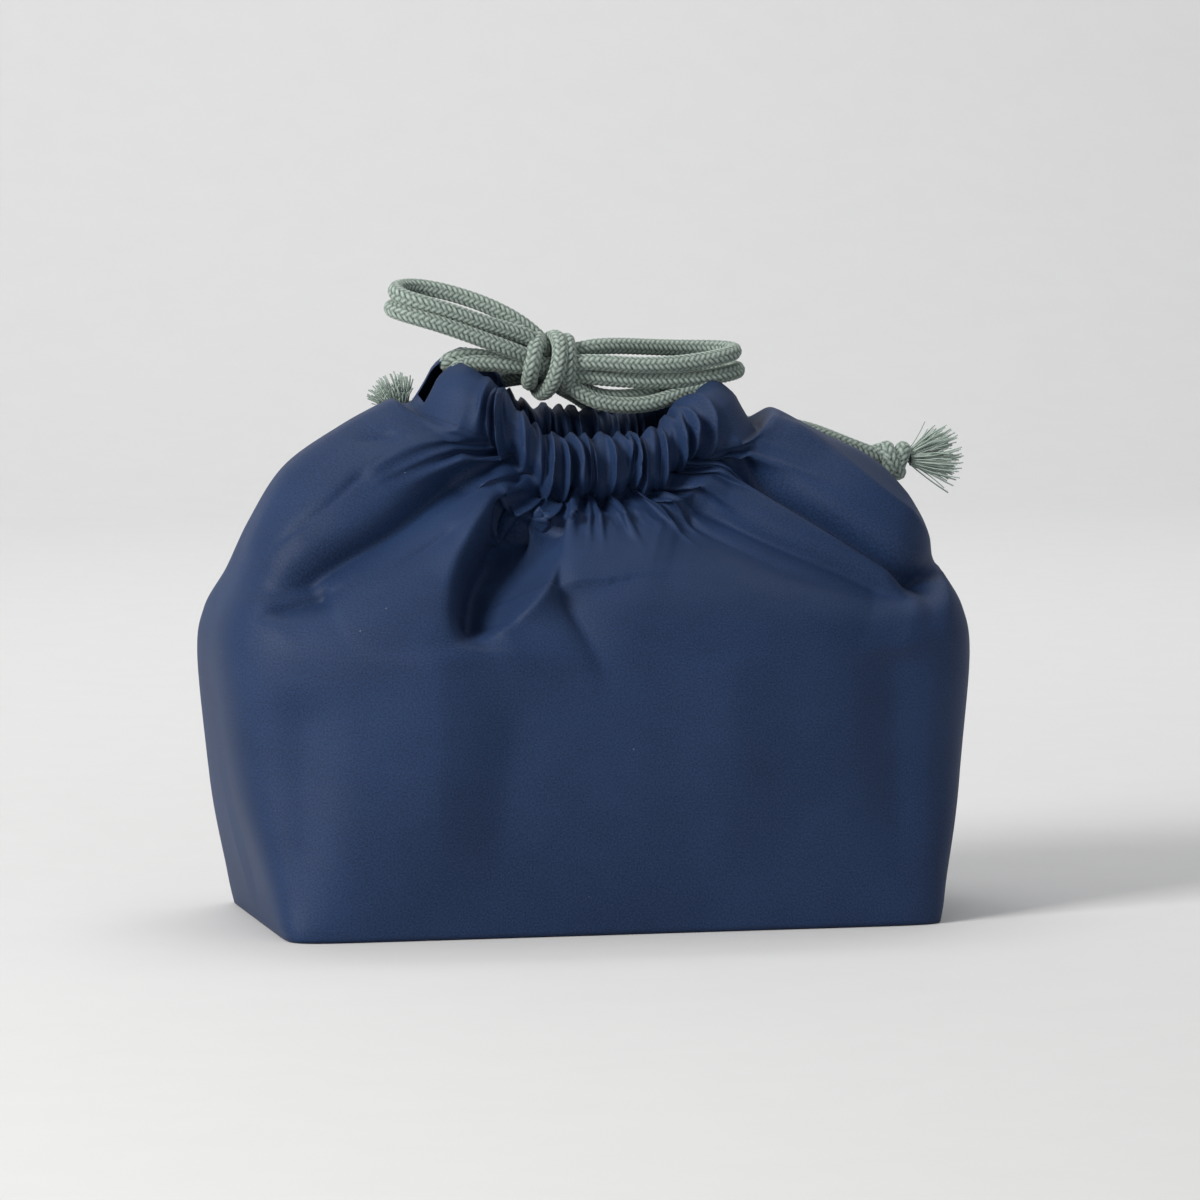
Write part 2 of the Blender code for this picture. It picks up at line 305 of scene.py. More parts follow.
@dataclass(frozen=True)
class PlainFinish:
    """A plain matt finish, for sewing thread and the floor."""

    name: str
    colour: tuple[float, float, float]
    roughness: float = 0.8

    def build(self) -> bpy.types.Material:
        """Makes the material, with a faint unevenness in its colour."""
        material, tree, shader = new_material(self.name)
        place = add_node(tree, "ShaderNodeTexCoord")
        noise = add_node(tree, "ShaderNodeTexNoise")
        noise.inputs["Scale"].default_value = 40.0
        tree.links.new(place.outputs["Object"], noise.inputs["Vector"])
        darker = tuple(0.985 * part for part in self.colour)
        colour = mix_colours(tree, noise.outputs["Fac"], (0.3, darker), (0.7, self.colour))
        tree.links.new(colour.outputs["Color"], shader.inputs["Base Color"])
        shader.inputs["Roughness"].default_value = self.roughness
        return material


# --------------------------------------------------------------------------------------------------
# Paths and meshes
# --------------------------------------------------------------------------------------------------


def smooth_path(points: np.ndarray, steps: int = 24) -> np.ndarray:
    """Runs a Catmull-Rom curve through points.

    Args:
        points: One point a row.
        steps: How many steps to take between two points.

    Returns:
        The curve's points.
    """
    ends = np.vstack([2 * points[0] - points[1], points, 2 * points[-1] - points[-2]])
    share = (np.arange(steps) / steps)[:, None]
    pieces = []
    for a, b, c, d in zip(ends, ends[1:], ends[2:], ends[3:]):
        bend = (2 * a - 5 * b + 4 * c - d) * share + (3 * b - a - 3 * c + d) * share**2
        pieces.append(b + (c - a + bend) * share / 2)
    return np.vstack([*pieces, points[-1:]])


def spaced(path: np.ndarray, step: float) -> np.ndarray:
    """Moves a path's points to an even spacing.

    Args:
        path: The path's points.
        step: The spacing wanted.

    Returns:
        The evenly spaced points, both ends kept.
    """
    along = np.concatenate([[0.0], np.cumsum(np.linalg.norm(np.diff(path, axis=0), axis=1))])
    count = max(3, round(along[-1] / step) + 1)
    wanted = np.linspace(0, along[-1], count)
    return np.stack([np.interp(wanted, along, path[:, axis]) for axis in range(3)], axis=1)


def path_length(path: np.ndarray) -> float:
    """The length of a path."""
    return float(np.linalg.norm(np.diff(path, axis=0), axis=1).sum())


def new_mesh_object(name: str, points: np.ndarray, faces: list | np.ndarray) -> bpy.types.Object:
    """Makes a smooth-shaded mesh object.

    Args:
        name: The object's name.
        points: One point a row.
        faces: Each face's point numbers.

    Returns:
        The new object, linked to the scene.
    """
    mesh = bpy.data.meshes.new(name)
    mesh.from_pydata(points.tolist(), [], [list(face) for face in faces])
    mesh.shade_smooth()
    obj = bpy.data.objects.new(name, mesh)
    bpy.context.scene.collection.objects.link(obj)
    return obj


@dataclass(frozen=True)
class Braid:
    """A round braid: each yarn goes over two and under two, which shows as columns of slanting stitches."""

    radius: float = 2.75 * MM
    relief: float = 0.34 * MM
    yarns_each_way: int = 8
    lay: float = 14.5 * MM
    sides: int = 40
    step: float = 0.42 * MM

    def height(self, turn: np.ndarray, along: np.ndarray) -> np.ndarray:
        """How far a point of the surface is raised.

        Args:
            turn: The share of the way round the cord.
            along: The distance along it.

        Returns:
            From 0 between yarns to 1 on top of one.
        """
        one = self.yarns_each_way * (turn + along / self.lay)
        other = self.yarns_each_way * (turn - along / self.lay)
        cell = np.floor(one) + np.floor(other)
        one_share, other_share = one - np.floor(one), other - np.floor(other)
        phase = np.mod(cell, 4)
        one_over = phase < 2
        across = np.where(one_over, one_share, other_share)
        float_share = np.where(one_over, (phase + other_share) / 2, (phase - 2 + one_share) / 2)
        crown = 1 - np.abs(2 * across - 1) ** 2.2
        dive = np.sin(np.pi * np.clip(float_share, 0, 1)) ** 0.6
        return crown * (0.25 + 0.75 * dive)

    def tube(self, name: str, path: np.ndarray, closed: bool = False) -> tuple[bpy.types.Object, np.ndarray]:
        """Makes a braided cord along a path.

        Args:
            name: The object's name.
            path: The path's points.
            closed: Whether its last point leads back to its first.

        Returns:
            The cord's object, and the centre of each of its rings.
        """
        centres = spaced(path, self.step)
        if closed:
            centres = centres[:-1]
        along_axis = np.roll(centres, -1, axis=0) - np.roll(centres, 1, axis=0)
        if not closed:
            along_axis[0], along_axis[-1] = centres[1] - centres[0], centres[-1] - centres[-2]
        along_axis /= np.linalg.norm(along_axis, axis=1)[:, None]
        across = self._carried(along_axis)
        up = np.cross(along_axis, across)
        turn = np.arange(self.sides) / self.sides
        distance = np.concatenate([[0.0], np.cumsum(np.linalg.norm(np.diff(centres, axis=0), axis=1))])
        raised = self.height(turn[None, :], distance[:, None])
        reach = (self.radius - self.relief * (1 - raised))[:, :, None]
        angle = math.tau * turn[None, :, None]
        points = centres[:, None] + reach * (np.cos(angle) * across[:, None] + np.sin(angle) * up[:, None])
        obj = new_mesh_object(name, points.reshape(-1, 3), self._faces(len(centres), closed))
        attribute = obj.data.attributes.new("raised", "FLOAT", "POINT")
        attribute.data.foreach_set("value", raised.reshape(-1).astype(np.float32))
        return obj, centres

    def _carried(self, axes: np.ndarray) -> np.ndarray:
        """A direction across the cord at each ring, carried along without twist.

        Args:
            axes: The cord's direction at each ring.

        Returns:
            One direction a row.
        """
        across = np.zeros_like(axes)
        start = np.cross(axes[0], (0.0, 0.0, 1.0))
        across[0] = start / np.linalg.norm(start)
        for i in range(1, len(axes)):
            moved = across[i - 1] - axes[i] * (across[i - 1] @ axes[i])
            across[i] = moved / np.linalg.norm(moved)
        return across

    def _faces(self, rings: int, closed: bool) -> list[list[int]]:
        """Quads between neighbouring rings, and an end face at each open end.

        Args:
            rings: How many rings there are.
            closed: Whether the last joins the first.

        Returns:
            Each face's point numbers.
        """
        ring = np.arange(rings if closed else rings - 1)[:, None]
        side = np.arange(self.sides)[None, :]
        beyond = (ring + 1) % rings
        following = (side + 1) % self.sides
        quads = np.stack(
            [ring * self.sides + side, ring * self.sides + following, beyond * self.sides + following,
             beyond * self.sides + side], axis=-1,
        ).reshape(-1, 4).tolist()
        if not closed:
            last = (rings - 1) * self.sides
            quads.append(list(range(self.sides))[::-1])
            quads.append(list(range(last, last + self.sides)))
        return quads


def join_objects(name: str, objects: list[bpy.types.Object]) -> bpy.types.Object:
    """Joins mesh objects into the first of them.

    Args:
        name: The joined object's name.
        objects: The objects, which are used up.

    Returns:
        The joined object.
    """
    with bpy.context.temp_override(active_object=objects[0], selected_editable_objects=objects):
        bpy.ops.object.join()
    objects[0].name = name
    return objects[0]


# --------------------------------------------------------------------------------------------------
# Things that repeat, made by geometry nodes
# --------------------------------------------------------------------------------------------------


@dataclass
class Repeater:
    """A geometry nodes tree with named inputs, put on a carrier object and then made a plain mesh."""

    name: str
    tree: bpy.types.NodeTree = field(init=False)
    sockets: dict[str, str] = field(default_factory=dict)

    def __post_init__(self) -> None:
        """Starts the tree with a geometry input and output."""
        self.tree = bpy.data.node_groups.new(self.name, "GeometryNodeTree")
        self.tree.interface.new_socket("Geometry", in_out="INPUT", socket_type="NodeSocketGeometry")
        self.tree.interface.new_socket("Geometry", in_out="OUTPUT", socket_type="NodeSocketGeometry")

    def add_input(self, label: str, kind: str, value: object) -> None:
        """Adds a named input with its value."""
        socket = self.tree.interface.new_socket(label, in_out="INPUT", socket_type=kind)
        self.sockets[label] = socket.identifier
        if value is not None and kind != "NodeSocketMaterial":
            socket.default_value = value

    def finish(self, realised: bpy.types.NodeSocket, start: bpy.types.Node) -> None:
        """Ends the tree in Realize Instances and Set Material.

        Args:
            realised: The instances' socket.
            start: The group input node, whose Material input is used.
        """
        real = add_node(self.tree, "GeometryNodeRealizeInstances")
        paint = add_node(self.tree, "GeometryNodeSetMaterial")
        end = add_node(self.tree, "NodeGroupOutput")
        self.tree.links.new(realised, real.inputs[0])
        self.tree.links.new(real.outputs[0], paint.inputs[0])
        self.tree.links.new(start.outputs["Material"], paint.inputs["Material"])
        self.tree.links.new(paint.outputs[0], end.inputs[0])

    def apply(self, carrier: bpy.types.Object, name: str, values: dict[str, object]) -> bpy.types.Object:
        """Runs the tree on a carrier and keeps the result as a plain mesh.

        Args:
            carrier: The object whose mesh the tree reads. It is removed.
            name: The new object's name.
            values: The inputs' values by name.

        Returns:
            The new object.
        """
        modifier = carrier.modifiers.new(self.name, "NODES")
        modifier.node_group = self.tree
        for label, value in values.items():
            modifier[self.sockets[label]] = value
        graph = bpy.context.evaluated_depsgraph_get()
        mesh = bpy.data.meshes.new_from_object(carrier.evaluated_get(graph))
        mesh.name = name
        mesh.shade_smooth()
        obj = bpy.data.objects.new(name, mesh)
        bpy.context.scene.collection.objects.link(obj)
        carrier.modifiers.remove(modifier)
        bpy.data.objects.remove(carrier, do_unlink=True)
        return obj


def stitch_repeater() -> Repeater:
    """Stitches: short rounded threads in line along an edge path, with gaps between them.

    Returns:
        The repeater, with the inputs Spacing, Length, Thickness and Material.
    """
    maker = Repeater("stitches")
    maker.add_input("Spacing", "NodeSocketFloat", 2.6 * MM)
    maker.add_input("Length", "NodeSocketFloat", 1.7 * MM)
    maker.add_input("Thickness", "NodeSocketFloat", 0.2 * MM)
    maker.add_input("Material", "NodeSocketMaterial", None)
    tree = maker.tree
    start = add_node(tree, "NodeGroupInput")
    curve = add_node(tree, "GeometryNodeMeshToCurve")
    even = add_node(tree, "GeometryNodeResampleCurve", mode="LENGTH")
    tree.links.new(start.outputs["Geometry"], curve.inputs[0])
    tree.links.new(curve.outputs[0], even.inputs["Curve"])
    tree.links.new(start.outputs["Spacing"], even.inputs["Length"])
    tangent = add_node(tree, "GeometryNodeInputTangent")
    aim = add_node(tree, "FunctionNodeAlignRotationToVector", axis="Z")
    tree.links.new(tangent.outputs[0], aim.inputs["Vector"])
    thread = add_node(tree, "GeometryNodeMeshUVSphere")
    thread.inputs["Segments"].default_value = 6
    thread.inputs["Rings"].default_value = 5
    thread.inputs["Radius"].default_value = 0.5
    size = add_node(tree, "ShaderNodeCombineXYZ")
    tree.links.new(start.outputs["Thickness"], size.inputs[0])
    tree.links.new(start.outputs["Thickness"], size.inputs[1])
    tree.links.new(start.outputs["Length"], size.inputs[2])
    place = add_node(tree, "GeometryNodeInstanceOnPoints")
    tree.links.new(even.outputs[0], place.inputs["Points"])
    tree.links.new(thread.outputs["Mesh"], place.inputs["Instance"])
    tree.links.new(aim.outputs[0], place.inputs["Rotation"])
    tree.links.new(size.outputs[0], place.inputs["Scale"])
    maker.finish(place.outputs[0], start)
    return maker


def fray_repeater() -> Repeater:
    """Loose yarns: a bent bristle on every point of the carrier, each at its own lean and length.

    Returns:
        The repeater, with the inputs Length, Thickness, Spread, Seed and Material.
    """
    maker = Repeater("frayed_yarns")
    maker.add_input("Length", "NodeSocketFloat", 16 * MM)
    maker.add_input("Thickness", "NodeSocketFloat", 0.5 * MM)
    maker.add_input("Spread", "NodeSocketFloat", 0.22)
    maker.add_input("Seed", "NodeSocketInt", 1)
    maker.add_input("Material", "NodeSocketMaterial", None)
    tree = maker.tree
    start = add_node(tree, "NodeGroupInput")
    line = add_node(tree, "GeometryNodeCurveQuadraticBezier")
    line.inputs["Resolution"].default_value = 7
    line.inputs["Start"].default_value = (0, 0, 0)
    line.inputs["Middle"].default_value = (0.05, 0.02, 0.5)
    line.inputs["End"].default_value = (-0.06, 0.1, 1)
    ring = add_node(tree, "GeometryNodeCurvePrimitiveCircle")
    ring.inputs["Resolution"].default_value = 4
    thin = add_node(tree, "ShaderNodeMath", operation="DIVIDE")
    half = add_node(tree, "ShaderNodeMath", operation="MULTIPLY", in_1=0.5)
    tree.links.new(start.outputs["Thickness"], half.inputs[0])
    tree.links.new(half.outputs[0], thin.inputs[0])
    tree.links.new(start.outputs["Length"], thin.inputs[1])
    tree.links.new(thin.outputs[0], ring.inputs["Radius"])
    bristle = add_node(tree, "GeometryNodeCurveToMesh")
    bristle.inputs["Fill Caps"].default_value = True
    tree.links.new(line.outputs[0], bristle.inputs["Curve"])
    tree.links.new(ring.outputs[0], bristle.inputs["Profile Curve"])
    points = add_node(tree, "GeometryNodeMeshToPoints")
    normal = add_node(tree, "GeometryNodeInputNormal")
    keep = add_node(tree, "GeometryNodeStoreNamedAttribute", data_type="FLOAT_VECTOR", domain="POINT")
    keep.inputs["Name"].default_value = "aim"
    tree.links.new(start.outputs["Geometry"], keep.inputs["Geometry"])
    tree.links.new(normal.outputs[0], keep.inputs["Value"])
    tree.links.new(keep.outputs[0], points.inputs["Mesh"])
    aim = add_node(tree, "GeometryNodeInputNamedAttribute", data_type="FLOAT_VECTOR")
    aim.inputs["Name"].default_value = "aim"
    lean = add_node(tree, "FunctionNodeRandomValue", data_type="FLOAT_VECTOR")
    lean.inputs[0].default_value = (-1, -1, -1)
    lean.inputs[1].default_value = (1, 1, 1)
    tree.links.new(start.outputs["Seed"], lean.inputs["Seed"])
    scaled = add_node(tree, "ShaderNodeVectorMath", operation="SCALE")
    tree.links.new(lean.outputs[0], scaled.inputs[0])
    tree.links.new(start.outputs["Spread"], scaled.inputs["Scale"])
    total = add_node(tree, "ShaderNodeVectorMath", operation="ADD")
    tree.links.new(aim.outputs[0], total.inputs[0])
    tree.links.new(scaled.outputs[0], total.inputs[1])
    turn = add_node(tree, "FunctionNodeAlignRotationToVector", axis="Z")
    tree.links.new(total.outputs[0], turn.inputs["Vector"])
    spin = add_node(tree, "FunctionNodeRandomValue", data_type="FLOAT")
    spin.inputs[3].default_value = math.tau
    tree.links.new(start.outputs["Seed"], spin.inputs["Seed"])
    about = add_node(tree, "FunctionNodeAxisAngleToRotation")
    about.inputs["Axis"].default_value = (0, 0, 1)
    tree.links.new(spin.outputs[1], about.inputs["Angle"])
    both = add_node(tree, "FunctionNodeRotateRotation", rotation_space="LOCAL")
    tree.links.new(turn.outputs[0], both.inputs["Rotation"])
    tree.links.new(about.outputs[0], both.inputs["Rotate By"])
    reach = add_node(tree, "FunctionNodeRandomValue", data_type="FLOAT")
    reach.inputs[2].default_value = 0.62
    reach.inputs[3].default_value = 1.0
    tree.links.new(start.outputs["Seed"], reach.inputs["Seed"])
    size = add_node(tree, "ShaderNodeMath", operation="MULTIPLY")
    tree.links.new(reach.outputs[1], size.inputs[0])
    tree.links.new(start.outputs["Length"], size.inputs[1])
    place = add_node(tree, "GeometryNodeInstanceOnPoints")
    tree.links.new(points.outputs[0], place.inputs["Points"])
    tree.links.new(bristle.outputs[0], place.inputs["Instance"])
    tree.links.new(both.outputs[0], place.inputs["Rotation"])
    tree.links.new(size.outputs[0], place.inputs["Scale"])
    maker.finish(place.outputs[0], start)
    return maker


# --------------------------------------------------------------------------------------------------
# The mouth: the line that the casing is gathered on
# --------------------------------------------------------------------------------------------------


@dataclass(frozen=True)
class Mouth:
    """The gathered mouth: two straights and two half circles, which climb to an ear at each end."""

    straight: float = 24 * MM
    radius: float = 18 * MM
    height: float = 150 * MM
    ear_start: float = 12 * MM
    rise: tuple[float, float] = (22 * MM, 15.5 * MM)
    slit_half_width: float = 10.5 * MM
    cord_pitch: float = 2.9 * MM
    tilt: float = 3.4 * MM
    back_slope: float = 0.09

    @property
    def perimeter(self) -> float:
        """The way once round."""
        return 2 * (math.pi * self.radius + 2 * self.straight)

    def at(self, share: np.ndarray) -> tuple[np.ndarray, np.ndarray]:
        """Points on the mouth's line.

        Args:
            share: How far round, from the right end by the back, as shares of the perimeter.

        Returns:
            The points and their outward directions, one a row.
        """
        arc, side = math.pi * self.radius, 2 * self.straight
        along = np.mod(share, 1) * self.perimeter
        turn = np.where(along >= arc + side, -1.0, 1.0)
        along = np.mod(along, arc + side)
        angle = np.clip(along / self.radius, 0, math.pi / 2)
        angle = angle + np.clip((along - arc / 2 - side) / self.radius, 0, math.pi / 2)
        centre = self.straight - np.clip(along - arc / 2, 0, side)
        out = np.stack([np.cos(angle), np.sin(angle), np.zeros_like(angle)], axis=-1) * turn[:, None]
        points = out * self.radius
        points[:, 0] += centre * turn
        backwards = points[:, 1] / self.radius
        points[:, 2] = self.height_at(points[:, 0]) + self.tilt * backwards
        points[:, 2] -= self.back_slope * points[:, 0] * np.clip(backwards, 0, 1)
        return points, out

    def height_at(self, x: np.ndarray) -> np.ndarray:
        """The height of the tunnel's middle at these distances to the side."""
        rise = np.where(x > 0, self.rise[1], self.rise[0])
        share = np.clip((np.abs(x) - self.ear_start) / (self.straight + self.radius - self.ear_start), 0, 1)
        return self.height + rise * share * share * (3 - 2 * share)

    def cord_at(self, share: np.ndarray, phase: float) -> np.ndarray:
        """Where a drawcord is in the casing, twisting half a turn round the other along each side."""
        points, out = self.at(share)
        angle = math.tau * share + phase
        points = points + out * (np.sin(angle) * self.cord_pitch)[:, None]
        points[:, 2] += np.cos(angle) * self.cord_pitch
        return points


# --------------------------------------------------------------------------------------------------
# Drawcords
# --------------------------------------------------------------------------------------------------


@dataclass
class Drawcord:
    """One drawcord as one unbroken cord: tail, bow loop, strand, casing, strand, bow loop and tail.

    Its routes are lists of points in millimetres. The second tail lies tail_spacing beside the listed one.
    """

    side: Side
    front_strand: Route
    back_strand: Route
    front_loop: Route
    back_loop: Route
    tail: Route
    tail_spacing: float
    end_knot: Point
    fray_axis: Point
    nodes: tuple[str, ...]
    braid: Braid = field(default_factory=Braid)
    mouth: Mouth = field(default_factory=Mouth)
    fray_length: float = 17 * MM
    fray_seed: int = 3
    # how far past a slit's edge the cord leaves its casing, in half widths of the slit
    outlet: float = 1.3
    # steps between the points kept of the tail and the casing, and of the whole cord as it is eased
    tail_step: float = 9 * MM
    casing_step: float = 7 * MM
    easing_step: float = 1.5 * MM
    easing_rounds: int = 34

    @property
    def label(self) -> str:
        """The side's name."""
        return self.side.name.lower()

    def casing_path(self) -> np.ndarray:
        """The cord's path through the casing, from the front outlet round to the back outlet."""
        reach = self.outlet * self.mouth.slit_half_width / self.mouth.perimeter
        if self.side is Side.LEFT:
            return self.mouth.cord_at(np.linspace(0.5 + reach, 1.5 - reach, 120), math.pi)
        return self.mouth.cord_at(np.linspace(-reach, -1 + reach, 120), 0.0)

    def free_path(self, strand: Route, loop: Route, spacing: float) -> np.ndarray:
        """The cord's path from its casing outlet over the bow to its end knot.

        Args:
            strand: Route from the outlet to the bow knot.
            loop: Route out of the bow knot round a loop and back.
            spacing: How far beside the listed tail this one lies.

        Returns:
            The path's points.
        """
        tail = smooth_path(np.array(self.tail) * MM)
        along = np.gradient(tail, axis=0)
        side = np.stack([-along[:, 1], along[:, 0], np.zeros(len(along))], axis=1)
        tail = tail + side / np.linalg.norm(side, axis=1)[:, None] * spacing
        tail = np.vstack([spaced(tail, self.tail_step)[1:-1], np.array([self.end_knot]) * MM])
        return np.vstack([np.array(strand) * MM, np.array(loop) * MM, tail])

    def build_cord(self) -> tuple[bpy.types.Object, np.ndarray]:
        """Makes the whole cord, eased so that no turn in it is a corner.

        Returns:
            Its object and the centres of its rings.
        """
        front = self.free_path(self.front_strand, self.front_loop, 0.0)
        back = self.free_path(self.back_strand, self.back_loop, self.tail_spacing)
        casing = spaced(self.casing_path(), self.casing_step)
        path = spaced(smooth_path(np.vstack([front[::-1], casing, back])), self.easing_step)
        for _ in range(self.easing_rounds):
            path[1:-1] = (path[:-2] + 2 * path[1:-1] + path[2:]) / 4
        return self.braid.tube(f"{self.label}_drawcord", smooth_path(path, 4))

    def build_end_knot(self) -> bpy.types.Object:
        """Makes the knot that ties the cord's ends: three turns of cord about its own line."""
        centre = np.array(self.end_knot) * MM
        axis = np.array(self.fray_axis) / np.linalg.norm(self.fray_axis)
        across = np.cross(axis, (0.0, 0.0, 1.0))
        across /= np.linalg.norm(across)
        up = np.cross(axis, across)
        turns = []
        for k, (shift, lean, reach) in enumerate(((-2.6, 0.5, 3.7), (1.0, -0.45, 4.1), (3.4, 0.55, 3.2))):
            angle = np.linspace(0, math.tau, 49)[:, None]
            ring = centre + axis * (shift + lean * reach * np.cos(angle + k)) * MM
            ring = ring + (across * np.cos(angle) + up * np.sin(angle)) * reach * MM
            turns.append(self.braid.tube(f"turn{k}", ring, closed=True)[0])
        return join_objects(f"{self.label}_knot", turns)

    def build_fray(self, yarns: Repeater, material: bpy.types.Material) -> bpy.types.Object:
        """Makes the brush of loose yarns beyond the knot.

        Args:
            yarns: The bristle repeater.
            material: The cord material.

        Returns:
            The brush.
        """
        axis = Vector(self.fray_axis).normalized()
        start = Vector(self.end_knot) * MM + axis * 3.6 * MM
        cap = bmesh.new()
        bmesh.ops.create_icosphere(cap, subdivisions=5, radius=5.2 * MM)
        outside = [v for v in cap.verts if v.co.normalized().dot(axis) < 0.86]
        bmesh.ops.delete(cap, geom=outside, context="VERTS")
        for vertex in cap.verts:
            vertex.co += start - axis * 1.2 * MM
        mesh = bpy.data.meshes.new("fray_carrier")
        cap.to_mesh(mesh)
        cap.free()
        carrier = bpy.data.objects.new("fray_carrier", mesh)
        bpy.context.scene.collection.objects.link(carrier)
        values = {"Length": self.fray_length, "Seed": self.fray_seed, "Material": material}
        brush = yarns.apply(carrier, f"{self.label}_fray", values)
        attribute = brush.data.attributes.new("raised", "FLOAT", "POINT")
        attribute.data.foreach_set("value", np.full(len(brush.data.vertices), 0.95, np.float32))
        return brush

    def build(self, yarns: Repeater, material: bpy.types.Material) -> list[bpy.types.Object]:
        """Args:
            yarns: The bristle repeater.
            material: The cord material.

        Returns:
            The cord, its knot and its fray.
        """
        cord, centres = self.build_cord()
        knot = self.build_end_knot()
        fray = self.build_fray(yarns, material)
        for piece in (cord, knot):
            piece.data.materials.clear()
            piece.data.materials.append(material)
        for piece in (cord, knot, fray):
            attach(piece, BODY)
        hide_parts(*self.nodes)
        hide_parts(f"{self.label}_end_knot")
        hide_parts(f"{self.label}_frayed_end")
        log.info("%s drawcord: %.0f mm from end to end", self.label, path_length(centres) / MM)
        return [cord, knot, fray]


@dataclass
class BowKnot:
    """The bow's knot: three turns of cord round the bundle, each leaning its own way."""

    braid: Braid = field(default_factory=Braid)
    # middle x, lean at the top, lean at the front, middle z, half depth and half height of each turn
    turns: tuple = (
        (-16.2, 1.4, -2.2, 179.6, 8.2, 6.9),
        (-11.4, 2.2, 1.2, 178.2, 9.4, 8.8),
        (-5.6, 0.2, -0.8, 178.6, 7.4, 7.3),
    )

    def build(self, material: bpy.types.Material) -> bpy.types.Object:
        """Makes the knot.

        Args:
            material: The cord material.

        Returns:
            The knot.
        """
        rings = []
        for k, (x, top, front, z, half_depth, half_height) in enumerate(self.turns):
            angle = np.linspace(0, math.tau, 73)
            ring = np.stack(
                [x + top * np.cos(angle) + front * np.sin(angle), 1.2 - half_depth * np.sin(angle),
                 z + half_height * np.cos(angle)], axis=1,
            )
            rings.append(self.braid.tube(f"bow_turn{k}", ring * MM, closed=True)[0])
        knot = join_objects("bow_turns", rings)
        knot.data.materials.clear()
        knot.data.materials.append(material)
        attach(knot, BODY)
        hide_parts("bow_knot")
        log.info("bow knot: %d turns of cord", len(self.turns))
        return knot


# --------------------------------------------------------------------------------------------------
# The cloth
# --------------------------------------------------------------------------------------------------


@dataclass(frozen=True)
class Fold:
    """A fold on the front or back, drawn from the casing outwards. With a negative depth it is a ridge.

    The line is in millimetres across and up. The two widths are those of its upper and its lower flank.
    A crispness of 1 is a sharp crease, and 2 a soft swell.
    """

    line: tuple[tuple[float, float], ...]
    depth: float
    upper: float
    lower: float
    back: bool = False
    fade: float = 0.35
    crispness: float = 1.1

    def push(self, points: np.ndarray) -> np.ndarray:
        """How far the fold moves each point inwards.

        Args:
            points: Points of the pouch.

        Returns:
            A distance for each.
        """
        flat = points[..., [0, 2]]
        nearest = np.full(points.shape[:-1], 1e9)
        side = np.zeros_like(nearest)
        place = np.zeros_like(nearest)
        line = smooth_path(np.array([(x, z, 0.0) for x, z in self.line]) * MM, 8)[:, :2]
        for k, (a, b) in enumerate(zip(line, line[1:])):
            run = b - a
            share = np.clip(((flat - a) @ run) / (run @ run), 0, 1)
            gap = flat - a - share[..., None] * run
            size = np.linalg.norm(gap, axis=-1)
            closer = size < nearest
            nearest = np.where(closer, size, nearest)
            across = (run[0] * gap[..., 1] - run[1] * gap[..., 0]) * np.sign(run[0] + 1e-9)
            side = np.where(closer, across, side)
            place = np.where(closer, (k + share) / (len(line) - 1), place)
        width = np.where(side > 0, self.upper, self.lower) * MM
        amount = np.clip((1 - place) / self.fade, 0, 1) * np.clip(place / 0.08 + 0.3, 0, 1)
        facing = np.clip(points[..., 1] / (12 * MM) * (1 if self.back else -1), 0, 1)
        return self.depth * MM * amount * np.exp(-((nearest / width) ** self.crispness)) * facing


